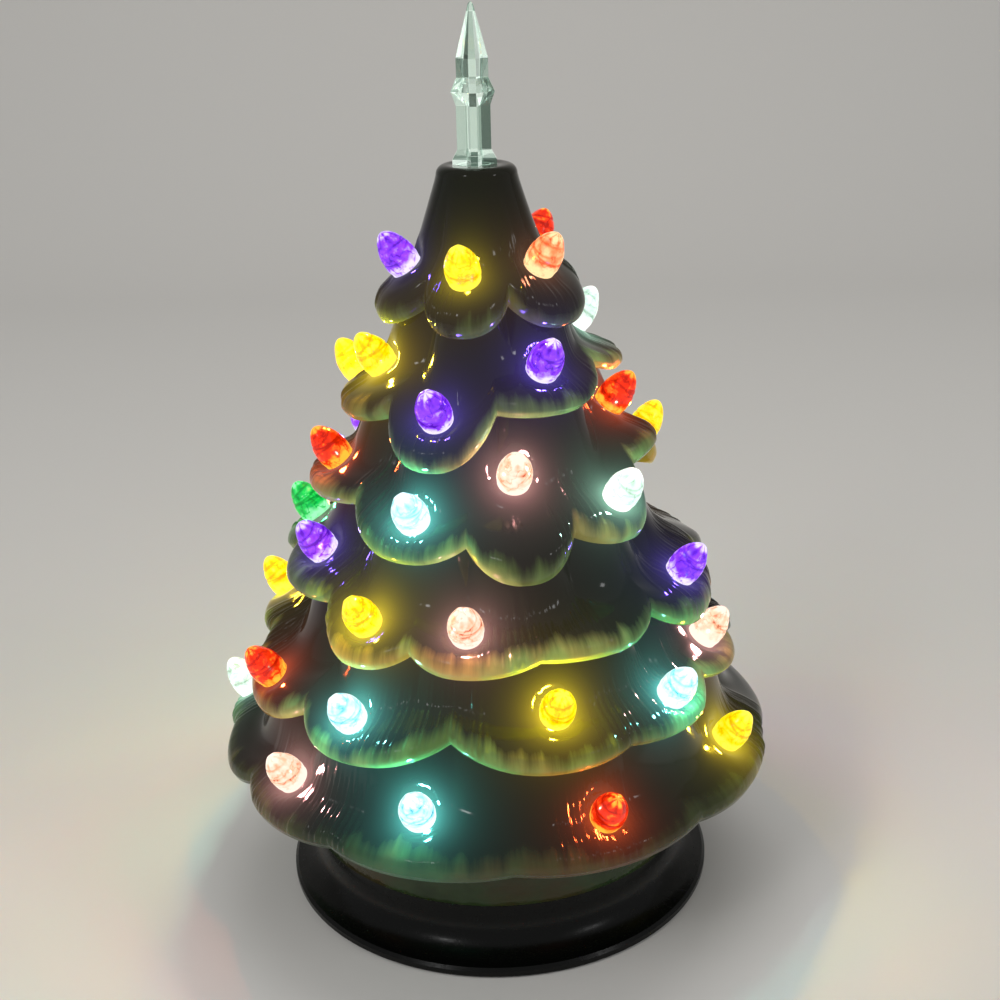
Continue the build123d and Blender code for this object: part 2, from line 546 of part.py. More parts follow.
# Sliding knob of the switch, at rest in the off position
with BuildPart() as switch_knob:
    with Locations((SWITCH_X, -SWITCH_TRAVEL / 2, SLIDER_LIFT)):
        Box(SLIDER_WIDTH, SLIDER_LENGTH, CARRIAGE_Z - SLIDER_LIFT, align=(Align.CENTER, Align.CENTER, Align.MIN))
    with Locations((SWITCH_X, -SWITCH_TRAVEL / 2, CARRIAGE_Z)):
        Box(CARRIAGE_WIDTH, CARRIAGE_LENGTH, CARRIAGE_HEIGHT, align=(Align.CENTER, Align.CENTER, Align.MIN))
save(switch_knob.part, "switch_knob")

# Hollow post that carries the light up into the tree
with BuildPart() as lamp_post:
    with Locations((0, 0, DECK_UNDER_Z)):
        Cylinder(POST_R, POST_TOP_Z - DECK_UNDER_Z, align=(Align.CENTER, Align.CENTER, Align.MIN))
    with Locations((0, 0, DECK_Z)):
        Cylinder(POST_FLANGE_R, POST_FLANGE_THICKNESS, align=(Align.CENTER, Align.CENTER, Align.MIN))
    with Locations((0, 0, POST_TOP_Z)):
        Cylinder(SHADE_R, POST_FLANGE_THICKNESS, align=(Align.CENTER, Align.CENTER, Align.MAX))
    with Locations((0, 0, DECK_UNDER_Z)):
        Cylinder(
            POST_BORE_R, POST_TOP_Z - DECK_UNDER_Z, align=(Align.CENTER, Align.CENTER, Align.MIN), mode=Mode.SUBTRACT
        )
save(lamp_post.part, "lamp_post")

# Light board and its four light chips
with BuildPart() as light_board:
    with Locations((0, 0, POST_TOP_Z)):
        Cylinder(BOARD_R, BOARD_THICKNESS, align=(Align.CENTER, Align.CENTER, Align.MIN))
save(light_board.part, "light_board")

with BuildPart() as light_chips:
    with Locations((0, 0, POST_TOP_Z + BOARD_THICKNESS)):
        with PolarLocations(LED_CIRCLE_R, 4):
            Box(LED_SIZE, LED_SIZE, LED_HEIGHT, align=(Align.CENTER, Align.CENTER, Align.MIN))
save(light_chips.part, "light_chips")

# Frosted shade over the board
with BuildPart() as light_shade:
    with BuildSketch(Plane.XZ):
        with BuildLine():
            Line((SHADE_R - SHADE_WALL, POST_TOP_Z), (SHADE_R, POST_TOP_Z))
            Line((SHADE_R, POST_TOP_Z), (SHADE_R, POST_TOP_Z + SHADE_STRAIGHT))
            RadiusArc((SHADE_R, POST_TOP_Z + SHADE_STRAIGHT), (0, POST_TOP_Z + SHADE_STRAIGHT + SHADE_R), -SHADE_R)
            Line((0, POST_TOP_Z + SHADE_STRAIGHT + SHADE_R), (0, POST_TOP_Z + SHADE_STRAIGHT + SHADE_R - SHADE_WALL))
            RadiusArc(
                (0, POST_TOP_Z + SHADE_STRAIGHT + SHADE_R - SHADE_WALL),
                (SHADE_R - SHADE_WALL, POST_TOP_Z + SHADE_STRAIGHT),
                SHADE_R - SHADE_WALL,
            )
            Line((SHADE_R - SHADE_WALL, POST_TOP_Z + SHADE_STRAIGHT), (SHADE_R - SHADE_WALL, POST_TOP_Z))
        make_face()
    revolve(axis=Axis.Z)
save(light_shade.part, "light_shade")

# Leads: board to switch, board to the last cell, and switch to the first cell
lead_paths = [
    [(WIRE_SPREAD, 0, POST_TOP_Z), (WIRE_SPREAD, 0, WIRE_Z), (SWITCH_X + 1.0, 0, WIRE_Z),
     (SWITCH_X + 1.0, 0, SWITCH_TOP_Z)],
    [(-WIRE_SPREAD, 0, POST_TOP_Z), (-WIRE_SPREAD, 0, WIRE_Z), (-CELL_PITCH, 0, WIRE_Z),
     (-CELL_PITCH, BAY_HALF_LENGTH, WIRE_Z), (-CELL_PITCH, BAY_HALF_LENGTH, CONTACT_TOP_Z)],
    [(SWITCH_X - 2.0, -3.0, SWITCH_TOP_Z), (SWITCH_X - 2.0, -3.0, WIRE_Z), (SWITCH_X - 2.0, -BAY_HALF_LENGTH, WIRE_Z),
     (CELL_PITCH, -BAY_HALF_LENGTH, WIRE_Z), (CELL_PITCH, -BAY_HALF_LENGTH, CONTACT_TOP_Z)],
]
with BuildPart() as leads:
    for points in lead_paths:
        with BuildLine() as lead_path:
            FilletPolyline(*points, radius=WIRE_BEND_R)
        with BuildSketch(Plane(lead_path.line @ 0, z_dir=lead_path.line % 0)):
            Circle(WIRE_R)
        sweep(path=lead_path.line)
save(leads.part, "leads")
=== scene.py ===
import logging
import math
from dataclasses import dataclass, field
from enum import Enum
from typing import ClassVar

import bpy
import numpy as np
from mathutils import Matrix, Vector


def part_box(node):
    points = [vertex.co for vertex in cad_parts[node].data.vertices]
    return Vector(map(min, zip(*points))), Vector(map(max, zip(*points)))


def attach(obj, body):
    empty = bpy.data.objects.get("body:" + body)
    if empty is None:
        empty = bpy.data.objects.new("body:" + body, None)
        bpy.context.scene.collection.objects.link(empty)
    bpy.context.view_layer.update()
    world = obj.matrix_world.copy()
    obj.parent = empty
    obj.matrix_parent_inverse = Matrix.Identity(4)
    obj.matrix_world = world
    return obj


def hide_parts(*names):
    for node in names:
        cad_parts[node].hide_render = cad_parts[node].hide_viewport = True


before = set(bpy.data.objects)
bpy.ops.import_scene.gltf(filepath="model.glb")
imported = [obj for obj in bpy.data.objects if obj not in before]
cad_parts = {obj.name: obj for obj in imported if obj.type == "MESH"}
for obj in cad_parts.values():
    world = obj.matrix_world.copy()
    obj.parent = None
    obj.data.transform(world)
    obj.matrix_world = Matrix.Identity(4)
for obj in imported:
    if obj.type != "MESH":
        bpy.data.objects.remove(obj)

# Looks of a ceramic table-top tree with push-in bulbs. Sizes are in millimetres, and become metres in the
# mesh. Azimuths are in degrees, 0 at the front of the tree and growing towards +X.

MM = 0.001
UP = np.array([0.0, 0.0, 1.0])
TINY = 1e-9  # keeps a division by a length of zero finite
WHITE = (1.0, 1.0, 1.0, 1.0)
NOISE_MIDDLE = 0.5  # mean of a noise texture
NOISE_RANGE = (0.3, 0.7)  # where nearly all of its values lie
log = logging.getLogger("ceramic_tree")

Sockets = dict[int | str, bpy.types.NodeSocket]
Values = dict[int | str, object]
Stops = tuple[tuple[float, str], ...]
Pairs = tuple[tuple[float, float], ...]
Triples = tuple[tuple[float, float, float], ...]


def linear(hex_colour: str) -> tuple[float, float, float, float]:
    """Turns an sRGB hex colour into linear light.

    Args:
        hex_colour: colour such as "#12301c".

    Returns:
        Linear red, green and blue, with alpha 1.
    """
    srgb = np.array([int(hex_colour[i:i + 2], 16) / 255.0 for i in (1, 3, 5)])
    light = np.where(srgb <= 0.04045, srgb / 12.92, ((srgb + 0.055) / 1.055) ** 2.4)
    return (*light.tolist(), 1.0)


def add_node(tree: bpy.types.NodeTree, kind: str, links: Sockets | None = None, values: Values | None = None,
             stops: Stops = (), **settings: object) -> bpy.types.Node:
    """Adds a node with its settings, constant inputs, colour stops and links.

    Args:
        tree: node tree that gets the node.
        kind: type of the node.
        links: output sockets to plug in, by input name or number.
        values: constants for inputs, by name or number.
        stops: places from 0 to 1 and their hex colours, in order, for a node with a colour ramp.
        settings: properties of the node itself.

    Returns:
        The new node.
    """
    node = tree.nodes.new(kind)
    for key, value in settings.items():
        setattr(node, key, value)
    for key, value in (values or {}).items():
        node.inputs[key].default_value = value
    for key, socket in (links or {}).items():
        tree.links.new(socket, node.inputs[key])
    if stops:
        ramp = node.color_ramp.elements
        for element, (place, colour) in zip((ramp[0], ramp[1]), (stops[0], stops[-1])):
            element.position = place
            element.color = linear(colour)
        for place, colour in stops[1:-1]:
            ramp.new(place).color = linear(colour)
    return node


def smooth(low: float, high: float, value: np.ndarray) -> np.ndarray:
    """Rises from 0 at low to 1 at high along a cubic that is level at both ends."""
    t = np.clip((value - low) / (high - low), 0.0, 1.0)
    return t * t * (3.0 - 2.0 * t)


def outward(azimuth: np.ndarray, tilt: float = 0.0) -> np.ndarray:
    """Unit vectors that point away from the axis.

    Args:
        azimuth: azimuths in degrees.
        tilt: how far they point up, in degrees.

    Returns:
        The vectors as x, y, z in the last dimension.
    """
    turn = np.radians(azimuth)
    level = math.cos(math.radians(tilt))
    rise = np.full_like(turn, math.sin(math.radians(tilt)))
    return np.stack([level * np.sin(turn), -level * np.cos(turn), rise], axis=-1)


@dataclass
class Surface:
    """Skin in millimetres: points, their faces and the values on the points that finishes read."""

    points: np.ndarray
    quads: np.ndarray
    fans: np.ndarray
    marks: dict[str, np.ndarray] = field(default_factory=dict)
    facet_marks: dict[str, np.ndarray] = field(default_factory=dict)

    @staticmethod
    def around(grid: np.ndarray, ring: bool = False, top: np.ndarray | None = None,
               foot: np.ndarray | None = None, marks: dict[str, np.ndarray] | None = None) -> "Surface":
        """Skin over a grid whose rows run down and whose columns go round the axis and close.

        Args:
            grid: points as rows, columns and x, y, z.
            ring: the last row joins the first, so that the skin is a closed ring.
            top: pole that closes the first row.
            foot: pole that closes the last row.
            marks: values on the grid's points, by name.

        Returns:
            The skin, facing outwards.
        """
        rows, columns = grid.shape[:2]
        index = np.arange(rows * columns).reshape(rows, columns)
        below = np.roll(index, -1, axis=0) if ring else index[1:]
        above = index if ring else index[:-1]
        quads = np.stack([above, below, np.roll(below, -1, axis=1), np.roll(above, -1, axis=1)], axis=-1)
        points = [grid.reshape(-1, 3)]
        fans = []
        for pole, is_top in ((top, True), (foot, False)):
            if pole is None:
                continue
            centre = np.full(columns, rows * columns + len(points) - 1)
            row = index[0] if is_top else index[-1]
            around_row = (centre, row) if is_top else (row, centre)
            fans.append(np.stack([*around_row, np.roll(row, -1)], axis=-1))
            points.append(np.asarray(pole, float).reshape(1, 3))
        flat = {}
        for name, values in (marks or {}).items():
            values = values.reshape(rows * columns, -1)
            extra = np.repeat(values[-1:], len(points) - 1, axis=0)
            flat[name] = np.concatenate([values, extra])
        triangles = np.concatenate(fans) if fans else np.zeros((0, 3), int)
        return Surface(np.concatenate(points), quads.reshape(-1, 4), triangles, flat)

    @staticmethod
    def joined(skins: list["Surface"]) -> "Surface":
        """Several skins as one.

        Args:
            skins: the skins, all with the same marks.

        Returns:
            One skin with all their points, faces and marks, in their order.
        """
        starts = np.cumsum([0] + [len(skin.points) for skin in skins[:-1]])
        return Surface(
            np.concatenate([skin.points for skin in skins]),
            np.concatenate([skin.quads + start for skin, start in zip(skins, starts)]),
            np.concatenate([skin.fans + start for skin, start in zip(skins, starts)]),
            {name: np.concatenate([skin.marks[name] for skin in skins]) for name in skins[0].marks},
        )

    @property
    def facets(self) -> int:
        """Number of faces."""
        return len(self.quads) + len(self.fans)

    def carried(self, origin: np.ndarray, axis: np.ndarray, side: np.ndarray) -> "Surface":
        """The skin with its Z turned to an axis, its X to a side, and its origin moved."""
        turned = np.stack([side, np.cross(axis, side), axis])
        return Surface(self.points @ turned + origin, self.quads, self.fans, self.marks, self.facet_marks)

    def put(self, name: str, finish: bpy.types.Material, shaded_smooth: bool = True) -> bpy.types.Object:
        """Makes the mesh object.

        Args:
            name: name of the piece.
            finish: its material.
            shaded_smooth: smooth shading, or flat facets.

        Returns:
            The object, at the origin.
        """
        mesh = bpy.data.meshes.new(name)
        corners = np.concatenate([self.quads.ravel(), self.fans.ravel()])
        sizes = np.concatenate([np.full(len(self.quads), 4), np.full(len(self.fans), 3)])
        mesh.vertices.add(len(self.points))
        mesh.vertices.foreach_set("co", (self.points * MM).astype(np.float32).ravel())
        mesh.loops.add(len(corners))
        mesh.loops.foreach_set("vertex_index", corners.astype(np.int32))
        mesh.polygons.add(len(sizes))
        mesh.polygons.foreach_set("loop_start", (np.cumsum(sizes) - sizes).astype(np.int32))
        mesh.polygons.foreach_set("use_smooth", np.full(len(sizes), shaded_smooth))
        mesh.update(calc_edges=True)
        for mark, values in self.marks.items():
            kind, key = ("FLOAT", "value") if values.shape[1] == 1 else ("FLOAT_VECTOR", "vector")
            mesh.attributes.new(mark, kind, "POINT").data.foreach_set(key, values.astype(np.float32).ravel())
        for mark, values in self.facet_marks.items():
            mesh.attributes.new(mark, "FLOAT", "FACE").data.foreach_set("value", values.astype(np.float32))
        mesh.materials.append(finish)
        piece = bpy.data.objects.new(name, mesh)
        bpy.context.scene.collection.objects.link(piece)
        return piece


@dataclass(frozen=True)
class Finish:
    """Finish of one colour with a fine grain: slight changes of tone and gloss, and a shallow relief."""

    name: str
    colour: str
    roughness: float
    metallic: float = 0.0
    ior: float = 1.5
    transmission: float = 0.0
    glow: float = 0.0
    mirror: float = 0.5  # strength of the reflections, 0.5 for a common plastic
    grain: float = 0.6  # size of the grain in millimetres
    grain_depth: float = 0.015  # height of its relief
    tone_spread: float = 0.12  # how much darker the grain's hollows are
    gloss_spread: float = 0.2  # how much rougher or smoother it makes the finish
    stretch: tuple[float, float, float] = (1.0, 1.0, 1.0)  # draws the grain out along an axis
    relief_strength: float = 0.4  # how much of the relief the light shows
    detail: float = 3.0  # finer layers in the noise

    def material(self) -> bpy.types.Material:
        """Makes the material.

        Returns:
            Material with a principled shader that carries this finish.
        """
        made = bpy.data.materials.new(self.name)
        made.use_nodes = True
        made.node_tree.nodes.clear()
        shader = add_node(made.node_tree, "ShaderNodeBsdfPrincipled", values={
            "Base Color": linear(self.colour), "Roughness": self.roughness, "Metallic": self.metallic,
            "IOR": self.ior, "Transmission Weight": self.transmission, "Specular IOR Level": self.mirror,
            "Emission Color": linear(self.colour), "Emission Strength": self.glow,
        })
        add_node(made.node_tree, "ShaderNodeOutputMaterial", {"Surface": shader.outputs[0]})
        made.diffuse_color = linear(self.colour)
        self.dress(made.node_tree, shader)
        return made

    def dress(self, tree: bpy.types.NodeTree, shader: bpy.types.Node) -> None:
        """Lays the grain over the plain shader.

        Args:
            tree: node tree of the material.
            shader: its principled shader.
        """
        grain = self.clouds(tree, self.grain, self.stretch)
        shade = 1.0 - self.tone_spread
        plain = linear(self.colour)
        hollow = (shade * plain[0], shade * plain[1], shade * plain[2], 1.0)
        tone = add_node(tree, "ShaderNodeMix", {"Factor": grain}, {6: hollow, 7: plain}, data_type="RGBA")
        gloss = add_node(tree, "ShaderNodeMapRange", {"Value": grain}, {
            "From Min": NOISE_RANGE[0], "From Max": NOISE_RANGE[1],
            "To Min": (1.0 - self.gloss_spread) * self.roughness,
            "To Max": (1.0 + self.gloss_spread) * self.roughness})
        relief = add_node(tree, "ShaderNodeBump", {"Height": grain}, {
            "Strength": self.relief_strength, "Distance": self.grain_depth * MM})
        tree.links.new(tone.outputs[2], shader.inputs["Base Color"])
        tree.links.new(gloss.outputs[0], shader.inputs["Roughness"])
        tree.links.new(relief.outputs[0], shader.inputs["Normal"])

    def clouds(self, tree: bpy.types.NodeTree, size: float,
               stretch: tuple[float, float, float] = (1.0, 1.0, 1.0)) -> bpy.types.NodeSocket:
        """Cloudy pattern that is fixed to the object.

        Args:
            tree: node tree of the material.
            size: size of a cloud in millimetres.
            stretch: how much it is drawn out along X, Y and Z.

        Returns:
            Socket of its value, about 0.5.
        """
        where = add_node(tree, "ShaderNodeTexCoord")
        drawn = add_node(tree, "ShaderNodeVectorMath", {0: where.outputs["Object"]}, {1: stretch},
                         operation="DIVIDE")
        noise = add_node(tree, "ShaderNodeTexNoise", {"Vector": drawn.outputs[0]},
                         {"Scale": 1.0 / (size * MM), "Detail": self.detail})
        return noise.outputs[0]


@dataclass(frozen=True)
class JacketFinish(Finish):
    """Shrunk plastic jacket of a cell: dark, with a plain copper-coloured band at one end."""

    band_colour: str = "#b06a34"
    axis: int = 0  # X, Y or Z along the cell
    band_start: float = 0.0  # where the band starts along it, in metres

    def dress(self, tree: bpy.types.NodeTree, shader: bpy.types.Node) -> None:
        """Colours the band, over the grain of a plain finish.

        Args:
            tree: node tree of the material.
            shader: its principled shader.
        """
        super().dress(tree, shader)
        body = shader.inputs["Base Color"].links[0].from_socket
        where = add_node(tree, "ShaderNodeTexCoord")
        split = add_node(tree, "ShaderNodeSeparateXYZ", {0: where.outputs["Object"]})
        beyond = add_node(tree, "ShaderNodeMath", {0: split.outputs[self.axis]}, {1: self.band_start},
                          operation="GREATER_THAN")
        banded = add_node(tree, "ShaderNodeMix", {"Factor": beyond.outputs[0], 6: body},
                          {7: linear(self.band_colour)}, data_type="RGBA")
        tree.links.new(banded.outputs[2], shader.inputs["Base Color"])


@dataclass(frozen=True)
class GlazeFinish(Finish):
    """Glazed earthenware, brushed on by hand: dark glassy lobes whose lips show the paler coat below."""

    relief_strength: float = 0.7
    lip_colours: Stops = ((0.36, "#55683a"), (0.5, "#76945a"), (0.64, "#90804e"))
    painted_lip_glow: float = 18.0  # how much brighter the painted glow of the bulbs is on the pale coat
    feather: float = 3.6  # how far brush strokes run over the upper edge of the pale lip
    stroke: float = 1.2  # width of a brush stroke
    stroke_roughness: float = 0.6  # how strong the finer layers of a stroke are
    sweep: float = 5.0  # width of the broad strokes that the fine ones lie in
    sweep_detail: float = 1.0
    sweep_reach: float = 9.0  # how far the broad strokes run over the lip's edge
    fade: tuple[float, float] = (-4.0, 3.5)  # where the pale coat is full and where it ends, from the edge
    mottle: float = 24.0  # size of the green and tan patches in the pale coat
    relief: float = 0.35  # height of the brush marks
    dimple: float = 3.2  # size of the dimples that the glaze ran into along the lips

    def dress(self, tree: bpy.types.NodeTree, shader: bpy.types.Node) -> None:
        """Feathers the dark coat over the pale lip, and paints the bulbs' light onto the glaze near them as a
        glow.

        Args:
            tree: node tree of the material.
            shader: its principled shader.
        """
        lip, brush, painted_glow, thin, needle = (
            add_node(tree, "ShaderNodeAttribute", attribute_name=name)
            for name in ("lip", "brush", "painted_glow", "thin", "needle"))
        # Fine and broad strokes move the upper edge of the pale lip up and down.
        strokes = add_node(tree, "ShaderNodeTexNoise", {"Vector": brush.outputs["Vector"]}, {
            "Scale": 1.0 / self.stroke, "Detail": self.detail, "Roughness": self.stroke_roughness})
        sweeps = add_node(tree, "ShaderNodeTexNoise", {"Vector": brush.outputs["Vector"]}, {
            "Scale": 1.0 / self.sweep, "Detail": self.sweep_detail})
        broad = add_node(tree, "ShaderNodeMath", {0: sweeps.outputs[0], 2: lip.outputs["Fac"]},
                         {1: self.sweep_reach}, operation="MULTIPLY_ADD")
        reach = add_node(tree, "ShaderNodeMath", {0: strokes.outputs[0], 2: broad.outputs[0]},
                         {1: self.feather}, operation="MULTIPLY_ADD")
        middle = NOISE_MIDDLE * (self.feather + self.sweep_reach)
        bare = add_node(tree, "ShaderNodeMapRange", {"Value": reach.outputs[0]}, {
            "From Min": middle + self.fade[0], "From Max": middle + self.fade[1],
            "To Min": 1.0, "To Max": 0.0}, interpolation_type="SMOOTHSTEP")
        # The pale coat shows where the lip is bare, as far as the dark coat is thin there.
        pale = add_node(tree, "ShaderNodeMath", {0: bare.outputs[0], 1: thin.outputs["Fac"]},
                        operation="MULTIPLY")
        mottled = add_node(tree, "ShaderNodeValToRGB", {0: self.clouds(tree, self.mottle)},
                           stops=self.lip_colours)
        lip_tone = mottled.outputs[0]
        coat = add_node(tree, "ShaderNodeMix", {"Factor": pale.outputs[0], 7: lip_tone},
                        {6: linear(self.colour)}, data_type="RGBA")
        # Strokes stand up where the brush left needles, and dimples sink into the bare lip.
        dimples = add_node(tree, "ShaderNodeMath", {0: self.clouds(tree, self.dimple), 1: bare.outputs[0]},
                           operation="MULTIPLY")
        marks = add_node(tree, "ShaderNodeMath", {
            0: strokes.outputs[0], 1: needle.outputs["Fac"], 2: dimples.outputs[0]}, operation="MULTIPLY_ADD")
        relief = add_node(tree, "ShaderNodeBump", {"Height": marks.outputs[0]}, {
            "Strength": self.relief_strength, "Distance": self.relief * MM})
        # Painted glow of the bulbs: in their own colour on the dark coat, and tinted and brighter on the pale
        # lip.
        painted_lip_tone = add_node(tree, "ShaderNodeVectorMath", {0: lip_tone}, {"Scale": self.painted_lip_glow},
                             operation="SCALE")
        tint = add_node(tree, "ShaderNodeMix", {"Factor": pale.outputs[0], 7: painted_lip_tone.outputs[0]},
                        {6: WHITE}, data_type="RGBA")
        painted_glow_colour = add_node(tree, "ShaderNodeVectorMath", {0: painted_glow.outputs["Color"], 1: tint.outputs[2]},
                        operation="MULTIPLY")
        tree.links.new(coat.outputs[2], shader.inputs["Base Color"])
        tree.links.new(painted_glow_colour.outputs[0], shader.inputs["Emission Color"])
        tree.links.new(relief.outputs[0], shader.inputs["Normal"])


@dataclass(frozen=True)
class BulbFinish(Finish):
    """Moulded translucent plastic lit from inside: pale where light shows through, deep in the grooves."""

    lit_colour: str = "#ffffff"
    core_colour: str = "#ffffff"
    fill: float = 0.5  # how much of the bulb the light fills, from deep plastic at 0 to the pale core at 1
    swirl: float = 2.2  # size of the cloudy patches in the plastic
    swirl_share: float = 1.3  # how much they change the light
    groove_share: float = 0.5  # how much the grooves dim it
    streak: float = 4.0  # size of the loops of the thin flow lines in the plastic
    streak_width: float = 0.035  # how far from the middle of the noise a line reaches
    streak_share: float = 0.34  # how much the lines dim it

    def dress(self, tree: bpy.types.NodeTree, shader: bpy.types.Node) -> None:
        """Blends the glow from the deep plastic over the lit plastic to the pale core.

        The brightness is the bulb's fill, with the clouds and the lens added and the grooves and flow lines
        taken off. A flow line lies where the noise passes its middle.

        Args:
            tree: node tree of the material.
            shader: its principled shader.
        """
        groove = add_node(tree, "ShaderNodeAttribute", attribute_name="groove")
        lens = add_node(tree, "ShaderNodeAttribute", attribute_name="lens")
        cloudy = add_node(tree, "ShaderNodeMath", {0: self.clouds(tree, self.swirl), 2: lens.outputs["Fac"]},
                          {1: self.swirl_share}, operation="MULTIPLY_ADD")
        dimmed = add_node(tree, "ShaderNodeMath", {0: groove.outputs["Fac"], 2: cloudy.outputs[0]},
                          {1: -self.groove_share}, operation="MULTIPLY_ADD")
        drift = add_node(tree, "ShaderNodeMath", {0: self.clouds(tree, self.streak)}, {1: NOISE_MIDDLE},
                         operation="SUBTRACT")
        aside = add_node(tree, "ShaderNodeMath", {0: drift.outputs[0]}, operation="ABSOLUTE")
        full = self.fill - NOISE_MIDDLE * self.swirl_share
        streaks = add_node(tree, "ShaderNodeMapRange", {"Value": aside.outputs[0]}, {
            "From Min": 0.0, "From Max": self.streak_width,
            "To Min": full - self.streak_share, "To Max": full})
        bright = add_node(tree, "ShaderNodeMath", {0: dimmed.outputs[0], 1: streaks.outputs[0]},
                          operation="ADD")
        lit = add_node(tree, "ShaderNodeValToRGB", {0: bright.outputs[0]}, stops=(
            (0.0, self.colour), (0.5, self.lit_colour), (1.0, self.core_colour)))
        tree.links.new(lit.outputs[0], shader.inputs["Emission Color"])


@dataclass(frozen=True)
class SpireFinish(Finish):
    """Clear moulded acrylic with a painted glow: each facet gets a random share of it, and the dimmer ones a
    painted darker tint.
    """

    painted_glow_colours: Stops = ((0.0, "#0a1410"), (0.6, "#6d8a7a"), (1.0, "#f2fff6"))  # painted glow, from dim to bright facets
    painted_shade_tints: Stops = ((0.1, "#56675e"), (0.45, "#c8d8ce"))  # painted shade: tints of the dimmer facets
    clear_from: float = 0.8  # facets above this have the plain tint

    def dress(self, tree: bpy.types.NodeTree, shader: bpy.types.Node) -> None:
        """Blends the painted glow and the painted shade tint of each facet.

        Args:
            tree: node tree of the material.
            shader: its principled shader.
        """
        facet = add_node(tree, "ShaderNodeAttribute", attribute_name="facet")
        glow = add_node(tree, "ShaderNodeValToRGB", {0: facet.outputs["Fac"]}, stops=self.painted_glow_colours)
        tint = add_node(tree, "ShaderNodeValToRGB", {0: facet.outputs["Fac"]},
                        stops=(*self.painted_shade_tints, (self.clear_from, self.colour)))
        tree.links.new(tint.outputs[0], shader.inputs["Base Color"])
        tree.links.new(glow.outputs[0], shader.inputs["Emission Color"])


@dataclass(frozen=True)
class BulbTones:
    """Colours of one kind of bulb."""

    deep: str  # plastic without light in it
    lit: str  # plastic with light in it
    core: str  # pale middle
    fill: float  # how full of light the bulb is
    thrown: str  # colour of its lamp's light, and of the glow painted on the glaze near it


class BulbColour(Enum):
    """Kinds of bulb, named for the colour that they show when lit."""

    PURPLE = BulbTones("#4a10a8", "#9644ff", "#fbf2ff", 0.46, "#4632a0")
    YELLOW = BulbTones("#c49400", "#fae200", "#fff650", 0.6, "#ffd62a")
    ORANGE = BulbTones("#c8441c", "#ff9860", "#fff0b4", 0.62, "#a05a40")
    RED = BulbTones("#a01000", "#f0340c", "#ffc840", 0.46, "#c8421c")
    CYAN = BulbTones("#2a9cb0", "#b4f5fb", "#ffffff", 0.9, "#6ae0dc")
    PINK = BulbTones("#a84c30", "#ffc8a4", "#fffaea", 0.8, "#cc8a88")
    CLEAR = BulbTones("#86a592", "#d6ece0", "#ffffff", 0.75, "#a0d8c0")
    GREEN = BulbTones("#047a2c", "#18cc52", "#a8ffc4", 0.45, "#1c9a4a")

    @property
    def label(self) -> str:
        """Name of the colour in the names of the nodes and slots."""
        return self.name.lower()

    @property
    def thrown(self) -> tuple[float, float, float]:
        """Colour of the light of a bulb's lamp, and of the glow painted on the glaze near it, as linear red,
        green and blue.
        """
        return linear(self.value.thrown)[:3]

    def finish(self) -> BulbFinish:
        """Finish of a lit bulb of this colour.

        Returns:
            The finish, with a glow in the bulb's own tones.
        """
        tones = self.value
        return BulbFinish(f"lit_{self.label}_plastic", tones.deep, 0.1, glow=1.0, lit_colour=tones.lit,
                          core_colour=tones.core, fill=tones.fill)


@dataclass(frozen=True)
class Lobe:
    """One lobe of a tier: where it points, how far it hangs below the tier's edge, and its bulb."""

    azimuth: float
    drop: float
    colour: BulbColour | None
    notch: float = 1.0  # share of the tier's notch between this lobe and the next


@dataclass(frozen=True)
class Tier:
    """One ring of lobes: height of its edge, depth and rise of its notches, and the crease under its lip."""

    edge: float
    notch_depth: float
    notch_rise: float
    undercut: float
    band: float  # height of the pale lip
    thin: float  # how thin the dark coat is over it
    pale_side: float  # azimuth at which it is thinnest
    lobes: tuple[Lobe, ...]


@dataclass(frozen=True)
class Seat:
    """Where a bulb stands: its foot, the way it points, and its colour."""

    foot: np.ndarray
    axis: np.ndarray
    side: np.ndarray
    colour: BulbColour
    tier: int
    first_tier_shine: ClassVar[float] = 0.35

    @property
    def shine(self) -> float:
        """Light that the bulb gets from the lamp below, as a share: less of it reaches the first tier."""
        return self.first_tier_shine if self.tier == 0 else 1.0


